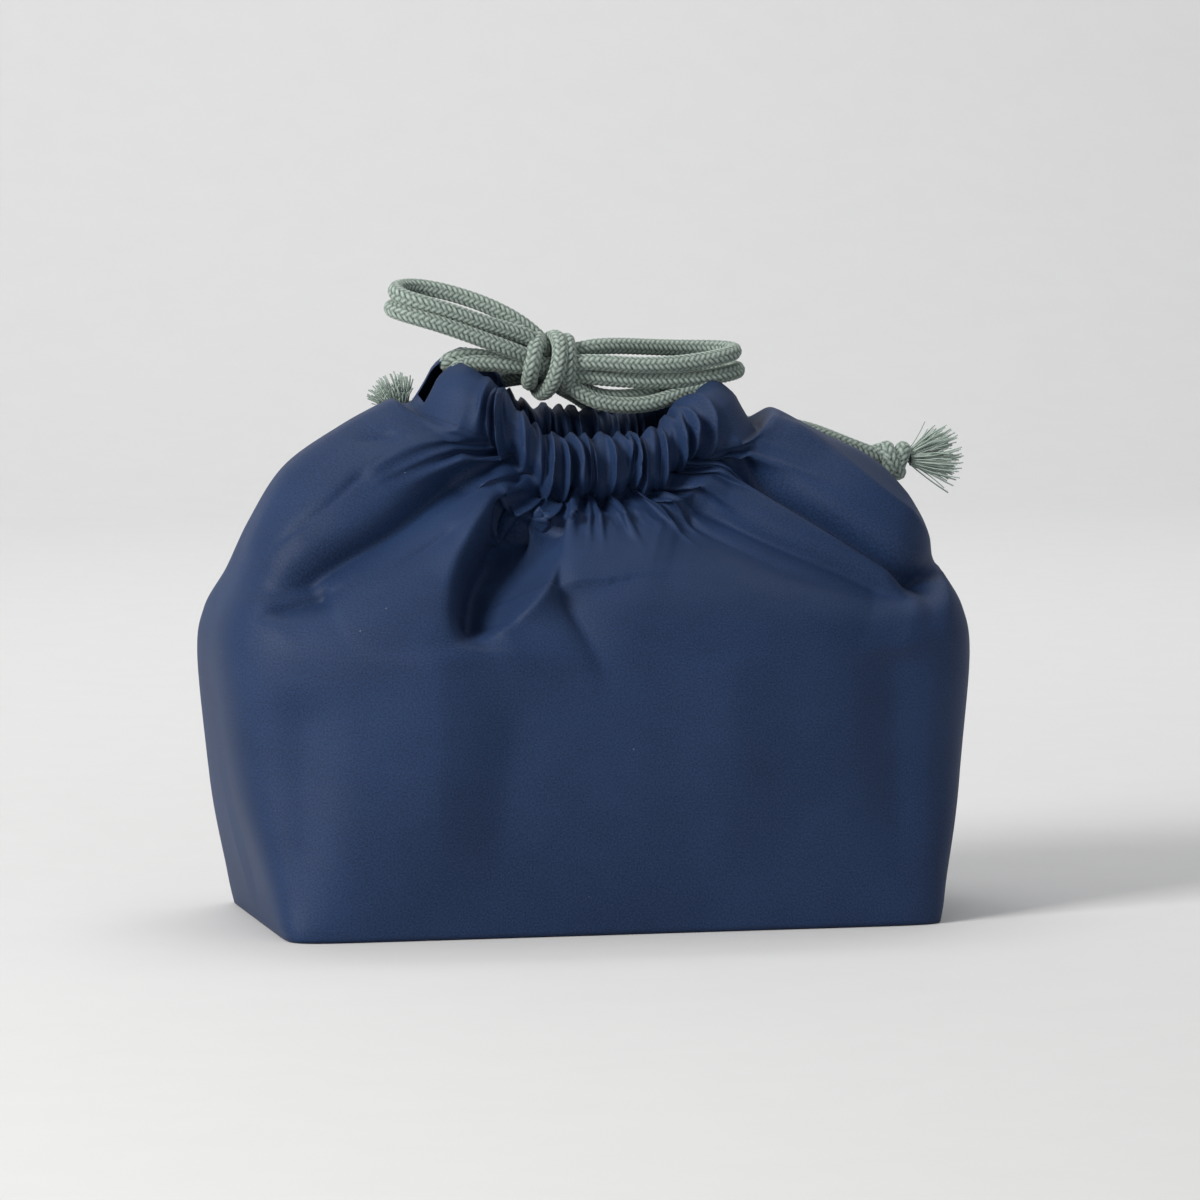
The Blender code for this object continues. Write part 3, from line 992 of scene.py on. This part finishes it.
@dataclass
class PouchCloth:
    """The sewn pouch: a tube of cloth on a boxed bottom, gathered into a front and a back casing."""

    mouth: Mouth = field(default_factory=Mouth)
    columns: int = 640
    casing_rows: int = 12
    casing_half_height: float = 9.8 * MM
    ear_half_height: float = 8.6 * MM
    casing_depth: float = 6.0 * MM
    ear_flare: float = 9.0 * MM
    right_drop: float = 0.13
    wall: float = 0.32 * MM
    crowding: float = 0.45
    rounds: int = 80
    # columns apart, share of their flat distance to keep, stiffness, whether only too near points move
    threads: tuple = ((1, 1.0, 0.8, False), (3, 0.8, 0.6, True), (6, 0.62, 0.6, True))
    base_depth: float = 110 * MM
    # how many rows above the casing's seam the slits start
    slit_foot: int = 3
    # height at front, height at side, half width, half depth, squareness
    sections: tuple = (
        (0.4, 0.4, 107.4, 56.6, 16.0),
        (13, 13, 111.2, 58.0, 9.0),
        (44, 44, 118.8, 60.4, 4.8),
        (80, 84, 123.6, 61.2, 3.9),
        (94, 100, 121.8, 60.2, 3.6),
        (104, 113, 115.5, 56.0, 3.4),
        (112, 129, 109.0, 50.5, 2.9),
        (120, 147, 98, 44, 2.5),
        (127, 160, 80, 37, 2.3),
        (133, 169, 64, 31, 2.15),
    )
    # which section's step the fine rows start at
    fine_from: float = 3.0
    fine_rows: int = 62
    coarse_rows: int = 24
    folds: tuple = ()

    def outline(self, section: tuple, share: np.ndarray) -> np.ndarray:
        """Points evenly spaced round a section, from the middle of the right side by the back.

        Args:
            section: The section's sizes.
            share: How far round each point is.

        Returns:
            One point a row, in metres.
        """
        front, side, half_width, half_depth, squareness = section
        angle = np.linspace(0, math.tau, 4001)
        cos, sin = np.cos(angle), np.sin(angle)
        x = half_width * np.sign(cos) * np.abs(cos) ** (2 / squareness)
        y = half_depth * np.sign(sin) * np.abs(sin) ** (2 / squareness)
        along = np.concatenate([[0.0], np.cumsum(np.hypot(np.diff(x), np.diff(y)))])
        wanted = np.mod(share, 1) * along[-1]
        spot_x, spot_y = np.interp(wanted, along, x), np.interp(wanted, along, y)
        drop = self.right_drop * np.clip((side - 128) / 30, 0, 1)
        lift = np.abs(spot_x / half_width) ** 2 * np.where(spot_x > 0, 1 - drop, 1.0)
        return np.stack([spot_x, spot_y, front + (side - front) * lift], axis=-1) * MM

    def gathering(self, share: np.ndarray) -> np.ndarray:
        """Where each column of cloth comes to on the mouth: smooth at the ears, bunched between them.

        Args:
            share: The column's share of the way round the cloth.

        Returns:
            Its share of the way round the mouth.
        """
        quarter = np.mod(share, 0.5) * 2
        knots = np.array([0.0, 0.06, 0.105, 0.895, 0.94, 1.0])
        places = np.array([0.028, 0.13, 0.175, 0.825, 0.87, 0.972])
        return np.floor(share * 2) / 2 + np.interp(quarter, knots, places) / 2

    def bunched(self, share: np.ndarray) -> np.ndarray:
        """Where the cloth is gathered: 0 at the ears and 1 between them."""
        quarter = np.mod(share, 0.5) * 2
        return np.clip((quarter - 0.07) / 0.05, 0, 1) * np.clip((0.93 - quarter) / 0.05, 0, 1)

    def ruffle(self, share: np.ndarray, slant: float = 0.0) -> np.ndarray:
        """The in-and-out of the gathers, each of its own width, depth and lean.

        Args:
            share: The column's share of the way round the cloth.
            slant: How far up the casing the row is, from 0 at its seam to 1 at its top.

        Returns:
            A distance for each column, outwards.
        """
        wander = 0.6 * np.sin(share * math.tau * 5.3 + 1.0) + 0.4 * np.sin(share * math.tau * 11.7 + 2.2)
        wander = wander + 0.35 * np.sin(share * math.tau * 23 + 0.7)
        lean = 0.34 * np.sin(share * math.tau * 7 + 0.4) + 0.24 * np.sin(share * math.tau * 19 + 1.9)
        lean = slant * lean
        phase = math.tau * (share * 36 + 0.6 * wander + lean)
        size = 2.6 + 1.1 * np.sin(share * math.tau * 9 + 0.5) + 0.9 * np.sin(share * math.tau * 17 + 2)
        wave = np.sin(phase) + 0.22 * np.sin(2 * phase + 1 + 5 * share)
        return self.bunched(share) * np.clip(size, 0.9, 4) * MM * wave

    def casing_grid(self, share: np.ndarray) -> tuple[np.ndarray, np.ndarray]:
        """The casing: up the outside from its seam, over the top fold and down the inside to the seam again.

        Args:
            share: Each column's share of the way round the cloth.

        Returns:
            The grid of points, one row of cloth after another, and each column's outward direction.
        """
        places, out = self.mouth.at(self.gathering(share))
        middle = self.bunched(share)
        half = self.ear_half_height + (self.casing_half_height - self.ear_half_height) * middle
        rows = []
        for k in range(2 * self.casing_rows + 1):
            turn = k / self.casing_rows - 1
            below = 1 - abs(turn)
            pinch = math.sqrt(min(1.0, below / 0.3))
            full = math.sqrt(min(1.0, abs(turn) / 0.3))
            facing = -1 if turn > 0 else 1
            if facing > 0:
                full = full * (pinch * middle + 1 - middle)
            wave = self.ruffle(share, below)
            swing = wave * (0.7 + 0.4 * below) + facing * np.abs(wave) * 0.25 * full
            depth = facing * (self.casing_depth + 2.2 * MM * middle) * full
            flare = self.ear_flare * (1 - middle) * (1 - below) ** 1.3 * max(facing, 0)
            uneven = 1.2 * MM * np.sin(share * math.tau * 33 + 0.8 + np.sin(share * 70)) * middle * below
            scallop = (1.6 * np.sin(share * math.tau * 27 + 2) + 1.5 * np.sin(share * math.tau * 10 + 1)) * MM
            row = places + out * (swing + depth + flare)[:, None]
            row[:, 2] += half * (2 * below - 1) + uneven + scallop * middle * (1 - below)
            rows.append(row)
        return np.stack(rows), out

    def drawn_grid(self) -> tuple[np.ndarray, int]:
        """The cloth as drawn: the bag's outlines, drawn in to the gathered casing, with its big folds.

        Returns:
            The grid, and the number of the casing's seam row.
        """
        share = np.arange(self.columns) / self.columns
        casing, out = self.casing_grid(share)
        last = len(self.sections) - 1
        fine = np.linspace(self.fine_from, last, self.fine_rows + 1)[1:]
        steps = np.concatenate([np.linspace(0, self.fine_from, self.coarse_rows), fine])
        gathered = self.gathering(share)
        sizes = smooth_path(np.array(self.sections, float))
        body = []
        for step in steps:
            place = step / last * (len(sizes) - 1)
            section = [np.interp(place, np.arange(len(sizes)), column) for column in sizes.T]
            amount = np.clip((step - 4) / (last - 4), 0, 1) ** 1.5
            row = self.outline(section, share) * (1 - amount) + self.outline(section, gathered) * amount
            rippled = self.ruffle(share) * np.clip((step - 6) / (last - 6), 0, 1) ** 5
            body.append(row + out * rippled[:, None])
        body = np.stack(body)
        bridge = [body[-1] + (casing[0] - body[-1]) * k / 5 for k in range(1, 5)]
        grid = np.concatenate([body, np.stack(bridge), casing])
        seam = len(body) + len(bridge)
        return self.fold(grid, seam), seam

    def fold(self, grid: np.ndarray, seam: int) -> np.ndarray:
        """Pushes the drawn folds into the grid, along the cloth's own facing.

        Args:
            grid: The grid.
            seam: The casing's seam row.

        Returns:
            The folded grid.
        """
        part = grid[:seam]
        smooth = part.copy()
        for _ in range(12):
            smooth = (np.roll(smooth, 1, axis=1) + smooth + np.roll(smooth, -1, axis=1)) / 3
        around = np.roll(smooth, -2, axis=1) - np.roll(smooth, 2, axis=1)
        facing = np.cross(around, np.gradient(smooth, axis=0))
        facing /= np.linalg.norm(facing, axis=2)[..., None] + 1e-12
        inwards = sum((fold.push(part) for fold in self.folds), np.zeros(part.shape[:2]))
        held = np.clip((seam - 1 - np.arange(seam)) / 9, 0, 1)[:, None]
        folded = grid.copy()
        folded[:seam] -= facing * (inwards * held)[..., None]
        return folded

    def settle(self, grid: np.ndarray, seam: int) -> np.ndarray:
        """Lets the cloth between the box and the casing relax from its drawn shape.

        Each thread goes back to its length, so spare cloth buckles and tight cloth pulls flat, while the
        drawn shape draws it back.

        Args:
            grid: The drawn grid.
            seam: The casing's seam row.

        Returns:
            The settled grid.
        """
        drawn, grid = grid, grid.copy()
        along_rest = np.linalg.norm(np.roll(grid[4], -1, axis=0) - grid[4], axis=1)[None, :]
        down_rest = np.linalg.norm(np.diff(grid, axis=0), axis=2)
        free = np.zeros((len(grid), 1, 1))
        free[self.coarse_rows - 6:seam - 1] = 1.0
        for _ in range(self.rounds):
            move = np.zeros_like(grid)
            count = np.zeros(grid.shape[:2] + (1,))
            for reach, kept, stiff, only_short in self.threads:
                self._pull(grid, move, count, reach, along_rest * reach * kept, stiff, only_short)
            self._pull_down(grid, move, count, down_rest)
            grid += move / np.maximum(count, 1) * free * 1.3
            grid += (drawn - grid) * 0.04 * free
        middle = (np.roll(grid, 1, axis=1) + np.roll(grid, -1, axis=1)) / 2
        return grid + (middle - grid) * 0.5 * free

    def _pull(
        self, grid: np.ndarray, move: np.ndarray, count: np.ndarray, reach: int, rest: np.ndarray,
        stiff: float, only_short: bool,
    ) -> None:
        """Adds the moves that bring points of a row back to their distance.

        Args:
            grid: The points.
            move: The moves so far, added to.
            count: How many moves each point has, added to.
            reach: How many columns apart the points are.
            rest: Their distance.
            stiff: The share of the error to take away.
            only_short: Whether only points that are too near each other move.
        """
        other = np.roll(grid, -reach, axis=1)
        span = other - grid
        length = np.maximum(np.linalg.norm(span, axis=2), 1e-9)
        error = length - rest
        error = np.minimum(error, 0) * self.crowding + (0 if only_short else np.maximum(error, 0))
        step = span * (0.5 * stiff * error / length)[..., None]
        active = (np.abs(error) > 0)[..., None]
        move += step
        move -= np.roll(step, reach, axis=1)
        count += active
        count += np.roll(active, reach, axis=1)

    def _pull_down(
        self, grid: np.ndarray, move: np.ndarray, count: np.ndarray, rest: np.ndarray
    ) -> None:
        """Adds the moves that bring neighbours in a column back to their distance.

        Args:
            grid: The points.
            move: The moves so far, added to.
            count: How many moves each point has, added to.
            rest: The neighbours' distances.
        """
        span = np.diff(grid, axis=0)
        length = np.maximum(np.linalg.norm(span, axis=2), 1e-9)
        step = span * (0.5 * (length - rest) / length)[..., None]
        move[:-1] += step
        move[1:] -= step
        count[:-1] += 1
        count[1:] += 1

    def build(
        self, cloth: bpy.types.Material, thread: bpy.types.Material, stitches: Repeater
    ) -> bpy.types.Object:
        """Makes the pouch and its seams.

        Args:
            cloth: The cloth material.
            thread: The sewing thread's material.
            stitches: The stitch repeater.

        Returns:
            The pouch.
        """
        grid, seam = self.drawn_grid()
        grid = self.settle(grid, seam)
        pouch = self._skin(grid, seam)
        pouch.data.materials.append(cloth)
        wall = pouch.modifiers.new("cloth thickness", "SOLIDIFY")
        wall.thickness = self.wall
        wall.offset = -1
        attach(pouch, BODY)
        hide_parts("pouch_body")
        seams = self._sew(grid, seam, stitches, thread)
        return pouch

    def _sew(
        self, grid: np.ndarray, seam: int, stitches: Repeater, thread: bpy.types.Material
    ) -> bpy.types.Object:
        """Sews the casing's foot where it shows: on the smooth cloth beside each slit, front and back.

        Args:
            grid: The settled grid.
            seam: The casing's seam row.
            stitches: The stitch repeater.
            thread: The sewing thread's material.

        Returns:
            All the stitches.
        """
        share = np.arange(self.columns) / self.columns
        _, out = self.mouth.at(self.gathering(share))
        line = grid[seam + 1] + out * 0.2 * MM
        quarter = np.mod(share, 0.5) * 2
        runs = []
        for half in (share < 0.5, share >= 0.5):
            runs.append(line[half & (quarter > 0.012) & (quarter < 0.13)])
            runs.append(line[half & (quarter > 0.87) & (quarter < 0.988)])
        mesh = bpy.data.meshes.new("seam_lines")
        starts = np.cumsum([0] + [len(run) for run in runs])
        edges = [(k, k + 1) for low, high in zip(starts, starts[1:]) for k in range(low, high - 1)]
        mesh.from_pydata(np.concatenate(runs).tolist(), edges, [])
        carrier = bpy.data.objects.new("seam_lines", mesh)
        bpy.context.scene.collection.objects.link(carrier)
        sewn = stitches.apply(carrier, "casing_stitches", {"Material": thread})
        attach(sewn, BODY)
        log.info("casing stitches: %d runs", len(runs))
        return sewn

    def _skin(self, grid: np.ndarray, seam: int) -> bpy.types.Object:
        """Makes the pouch's one surface from the settled grid, with its bottom and the slits in its casing.

        Args:
            grid: The settled grid.
            seam: The casing's seam row.

        Returns:
            The pouch's object, with a UV map in metres of flat cloth.
        """
        rows, columns = grid.shape[:2]
        base_rings = 5
        base = [grid[0] * np.array([k / base_rings, k / base_rings, 1.0]) for k in range(1, base_rings)]
        middle = np.array([[0.0, 0.0, grid[0, 0, 2]]])
        points = np.concatenate([middle, *base, grid.reshape(-1, 3)])
        # the bottom's middle is point 0, and the rings come after it
        first = 1
        slit = {0, columns // 2}
        faces = [(0, first + (c + 1) % columns, first + c) for c in range(columns)]
        total_rows = base_rings - 1 + rows
        for row in range(total_rows - 1):
            for column in range(columns):
                beyond = (column + 1) % columns
                if row - (base_rings - 1) >= seam + self.slit_foot and {column, beyond} & slit:
                    continue
                low, high = first + row * columns, first + (row + 1) * columns
                faces.append((low + column, low + beyond, high + beyond, high + column))
        pouch = new_mesh_object("pouch_cloth", points, faces)
        self._lay_flat(pouch, grid, base_rings - 1)
        return pouch

    def _lay_flat(self, pouch: bpy.types.Object, grid: np.ndarray, base_rows: int) -> None:
        """Gives the pouch its UV map, in metres along and across the flat cloth.

        Args:
            pouch: The pouch's object.
            grid: The settled grid.
            base_rows: How many rings of the bottom come before the grid's first row.
        """
        columns = grid.shape[1]
        around = np.linalg.norm(np.roll(grid[4], -1, axis=0) - grid[4], axis=1).mean() * np.arange(columns)
        up = np.concatenate([[0.0], np.cumsum(np.linalg.norm(np.diff(grid, axis=0), axis=2).mean(axis=1))])
        up = np.concatenate([np.linspace(-self.base_depth / 2, 0, base_rows + 1)[:-1], up])
        layer = pouch.data.uv_layers.new(name="flat")
        corners = np.empty(len(pouch.data.loops), np.int32)
        pouch.data.loops.foreach_get("vertex_index", corners)
        spot = np.maximum(corners - 1, 0)
        column, row = spot % columns, np.minimum(spot // columns, len(up) - 1)
        flat = np.stack([around[column], up[row]], axis=1)
        layer.data.foreach_set("uv", flat.reshape(-1).astype(np.float32))


# --------------------------------------------------------------------------------------------------
# Studio
# --------------------------------------------------------------------------------------------------


@dataclass(frozen=True)
class Studio:
    """A pale sweep of floor and wall, soft light from the upper left, and the camera."""

    azimuth: float = -13.0
    elevation: float = 5.0
    distance: float = 2.2
    lens: float = 203.5
    target: tuple[float, float, float] = (5.5 * MM, 0.0, 101.8 * MM)

    def place_camera(self) -> None:
        """Sets the scene's camera."""
        turn, tilt = math.radians(self.azimuth), math.radians(self.elevation)
        away = Vector((math.sin(turn) * math.cos(tilt), -math.cos(turn) * math.cos(tilt), math.sin(tilt)))
        data = bpy.data.cameras.new("camera")
        data.lens = self.lens
        data.sensor_width = 36
        camera = bpy.data.objects.new("camera", data)
        camera.location = Vector(self.target) + away * self.distance
        camera.rotation_euler = away.to_track_quat("Z", "Y").to_euler()
        bpy.context.scene.collection.objects.link(camera)
        bpy.context.scene.camera = camera

    def add_light(
        self, name: str, place: tuple[float, float, float], size: float, power: float,
        colour: tuple[float, float, float], aim: tuple[float, float, float] = (0.0, 0.0, 0.1),
    ) -> None:
        """Adds a square soft light.

        Args:
            name: The light's name.
            place: Where it stands.
            size: Its width.
            power: Its power in watts.
            colour: Its colour.
            aim: What it points at.
        """
        data = bpy.data.lights.new(name, "AREA")
        data.size = size
        data.energy = power
        data.color = colour
        light = bpy.data.objects.new(name, data)
        light.location = place
        light.rotation_euler = (Vector(place) - Vector(aim)).to_track_quat("Z", "Y").to_euler()
        bpy.context.scene.collection.objects.link(light)

    def build(self) -> None:
        """Makes the floor sweep and the lights."""
        width, front, back, bend = 5.0, -3.0, 2.9, 1.2
        profile = [(front, 0.0), (back - bend, 0.0)]
        for k in range(1, 13):
            angle = k / 12 * math.pi / 2
            profile.append((back - bend + bend * math.sin(angle), bend - bend * math.cos(angle)))
        profile.append((back, 3.6))
        points = np.array([(side * width, y, z) for y, z in profile for side in (-1, 1)])
        faces = [(2 * k, 2 * k + 1, 2 * k + 3, 2 * k + 2) for k in range(len(profile) - 1)]
        floor = new_mesh_object("floor", points, faces)
        floor.data.materials.append(PlainFinish("pale_paper", (0.63, 0.63, 0.631), 0.9).build())
        world = bpy.data.worlds.new("studio")
        world.use_nodes = True
        world.node_tree.nodes["Background"].inputs["Color"].default_value = (0.97, 0.98, 1.0, 1)
        world.node_tree.nodes["Background"].inputs["Strength"].default_value = 0.3
        bpy.context.scene.world = world
        self.add_light("key", (-1.8, -0.95, 1.15), 0.8, 58, (1.0, 0.985, 0.96))
        self.add_light("top", (0.1, 0.35, 1.9), 1.6, 12, (1.0, 1.0, 1.0))
        self.add_light("backdrop", (0.3, 1.2, 2.2), 1.8, 33, (1.0, 1.0, 1.0), (0.3, 2.9, 0.7))
        self.add_light("fill", (0.4, -1.9, 0.5), 1.3, 4, (0.95, 0.97, 1.0))
        bpy.context.scene.view_settings.view_transform = "Standard"
        log.info("studio: floor sweep and 4 lights")


# --------------------------------------------------------------------------------------------------
# Routes, in millimetres: each stretch of cord as it is laid
# --------------------------------------------------------------------------------------------------

LEFT_CORD = Drawcord(
    side=Side.LEFT,
    front_strand=(
        (-43, -8.2, 172.8), (-46, -3.6, 175.4), (-43.4, -1, 178.8), (-35.6, -2.2, 180), (-28, -3.2, 178.6),
    ),
    back_strand=(
        (-42.8, 9.4, 177), (-47, 5.6, 178.4), (-44, 2.6, 181.4), (-36, 2.4, 182), (-29, 2.6, 180.2),
    ),
    front_loop=(
        (-12.5, -1, 178), (0, -5.2, 179.8), (14, -6.8, 178.2), (30, -7, 178.6), (42, -5.6, 180),
        (50.4, -1.6, 181.6), (53, 4.4, 182.4), (49.8, 10, 182.6), (41, 12, 182.6), (28, 9.6, 183),
        (13, 4.6, 184), (0, 1.4, 183.8), (-12.5, 0.5, 179),
    ),
    back_loop=(
        (-12.5, -1, 176), (1, -2.2, 174.6), (16, -3.4, 173.2), (32, -4, 173), (44, -3, 174.2),
        (52.2, 1, 175.4), (54.8, 7, 176), (51.4, 12.6, 176.4), (42.4, 15, 176.4), (28, 12.8, 176.6),
        (13, 8.4, 177), (0, 4.4, 177.6), (-12.5, 1, 177),
    ),
    tail=(
        (-18, 2, 175), (-21.5, 12, 173.6), (-26.5, 21, 172.8), (-32, 29.8, 169.4), (-40, 33.4, 163.4),
        (-48, 30.8, 158.8),
    ),
    tail_spacing=-6 * MM,
    end_knot=(-51.5, 30.5, 157),
    fray_axis=(-0.45, -0.3, 0.85),
    fray_length=11.5 * MM,
    nodes=(
        "left_cord_front", "left_cord_back", "left_cord_in_casing", "bow_loop_right_upper",
        "bow_loop_right_lower", "left_tail_first", "left_tail_second",
    ),
)

RIGHT_CORD = Drawcord(
    side=Side.RIGHT,
    front_strand=(
        (41.4, -7.4, 167.6), (43.2, -3.6, 170.6), (39.4, -1.8, 172.2), (32.6, -3.2, 169.4),
        (26, -4.4, 166.4), (18, -4.8, 164.8), (9, -4.7, 165.2), (1, -4.6, 166.6),
    ),
    back_strand=(
        (43, 8.8, 169.4), (45, 4.4, 172), (41, 2, 174), (34.4, 1.8, 172.2), (26.6, 1.4, 169),
        (18, 1.2, 167.4), (9, 1.3, 167.4), (1, 1.4, 168.2),
    ),
    front_loop=(
        (-12.5, -0.5, 178), (-22, -6, 182.4), (-33, -7, 186.4), (-44, -7.4, 190.6), (-54, -6.6, 193.8),
        (-61.5, -2.8, 195.8), (-64.4, 3.2, 197), (-61.4, 9.2, 197.8), (-53.6, 11.6, 197), (-43.6, 9.6, 194.2),
        (-33, 5.8, 190.4), (-23, 3.4, 185.4), (-12.5, 1, 179),
    ),
    back_loop=(
        (-13, 2, 186), (-23, 4.6, 194), (-35, 8.6, 199.4), (-46, 12, 202.6), (-54, 12.4, 204),
        (-60, 9.2, 203.8), (-63, 3.4, 202.4), (-60.8, -2.4, 200.6), (-53.6, -5.4, 198.8), (-44, -5.8, 196),
        (-33, -5.2, 191.8), (-22, -3, 189), (-12.5, -1, 184.5),
    ),
    tail=(
        (-8, 2, 174), (-1, 11, 170.8), (7, 20, 167.4), (18, 29, 159.4), (32, 32, 154), (48, 28.4, 154.8),
        (64, 22, 157), (80, 17, 154.8), (93, 14.6, 149.6), (107, 14, 144.8),
    ),
    tail_spacing=6 * MM,
    end_knot=(107, 16, 144.5),
    fray_axis=(1, 0, 0.12),
    nodes=(
        "right_cord_front", "right_cord_back", "right_cord_in_casing", "bow_loop_left_upper",
        "bow_loop_left_lower", "right_tail_first", "right_tail_second",
    ),
    fray_seed=8,
)

FOLDS = (
    Fold(((-31, 149), (-50, 144), (-74, 130), (-92, 121), (-114, 108)), 10.0, 2.4, 12.0, fade=0.15),
    Fold(((-40, 158), (-66, 150), (-90, 134), (-112, 116)), -4.0, 8.0, 6.0, fade=0.2),
    Fold(((-76, 146), (-92, 133), (-110, 120)), 3.0, 1.8, 5.0),
    Fold(((-66, 157), (-80, 155)), 2.0, 1.6, 4.0, fade=0.6),
    Fold(((-94, 113), (-106, 108), (-115, 101)), 4.5, 2.0, 5.0),
    Fold(((-50, 130), (-76, 117)), 1.4, 1.6, 5.0, fade=0.6),
    Fold(
        ((-16, 156), (-24, 146), (-36, 130), (-46, 115), (-51, 93)), 19.0, 3.4, 16.0, fade=0.12, crispness=1.6
    ),
    Fold(((-14, 162), (-22, 150), (-42, 130), (-56, 112)), -8.5, 8.0, 3.2, fade=0.3),
    Fold(((-10, 138), (-18, 119), (-28, 106), (-46, 95)), -6.5, 5.0, 5.0, fade=0.12),
    Fold(((-10, 142), (-18, 115), (-14, 100), (-4, 78)), 6.0, 10.0, 3.0, fade=0.5),
    Fold(((42, 152), (73, 132), (99, 116), (115, 111)), 12.5, 2.2, 7.0, fade=0.15),
    Fold(((23, 141), (56, 125), (80, 115), (101, 104)), 7.0, 2.6, 13.0, fade=0.2),
    Fold(((30, 151), (60, 133), (100, 110)), -4.5, 5.0, 6.0, fade=0.1),
    Fold(((50, 163), (66, 158), (90, 136), (114, 118)), -5.0, 8.0, 6.0, fade=0.2),
    Fold(((58, 164), (74, 159), (92, 156)), 3.5, 2.5, 7.0),
    Fold(((24, 134), (60, 116), (96, 104)), 2.0, 2.4, 7.0, fade=0.6),
    Fold(((-103, 78), (-103, 30), (-104, 4)), 3.4, 11.0, 11.0, fade=0.5, crispness=1.8),
    Fold(((-60, 94), (-60, 50), (-60, 6)), -3.4, 18.0, 18.0, fade=0.5, crispness=1.5),
    Fold(((-34, 70), (-40, 40), (-40, 6)), 2.2, 12.0, 12.0, fade=0.5, crispness=1.7),
    Fold(((90, 90), (92, 40), (92, 6)), 3.6, 13.0, 13.0, fade=0.5, crispness=1.7),
    Fold(((34, 90), (36, 50), (36, 12)), -1.6, 16.0, 16.0, fade=0.6, crispness=1.7),
    Fold(((-34, 152), (-70, 132), (-108, 112)), 8.0, 3.0, 11.0, True, 0.25),
    Fold(((-14, 148), (-28, 124), (-24, 92)), 8.0, 6.0, 9.0, True, 0.3),
    Fold(((16, 146), (20, 126), (36, 98)), 10.0, 6.0, 9.0, True, 0.25),
    Fold(((38, 152), (74, 134), (110, 112)), 8.0, 3.0, 11.0, True, 0.25),
    Fold(((30, 156), (62, 143), (98, 126)), -3.5, 8.0, 8.0, True),
)


def main() -> None:
    """Builds the pouch in order: camera, drawcords, bow knot, cloth, studio."""
    logging.basicConfig(level=logging.INFO, format="%(name)s: %(message)s")
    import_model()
    studio = Studio()
    studio.place_camera()
    fibre = fibre_group()
    cord_material = CordFinish().build(fibre)
    yarns = fray_repeater()
    for cord in (LEFT_CORD, RIGHT_CORD):
        cord.build(yarns, cord_material)
    BowKnot().build(cord_material)
    thread = PlainFinish("navy_thread", (0.006, 0.01, 0.03)).build()
    PouchCloth(folds=FOLDS).build(ClothFinish().build(fibre), thread, stitch_repeater())
    studio.build()


if __name__ == "__main__":
    main()
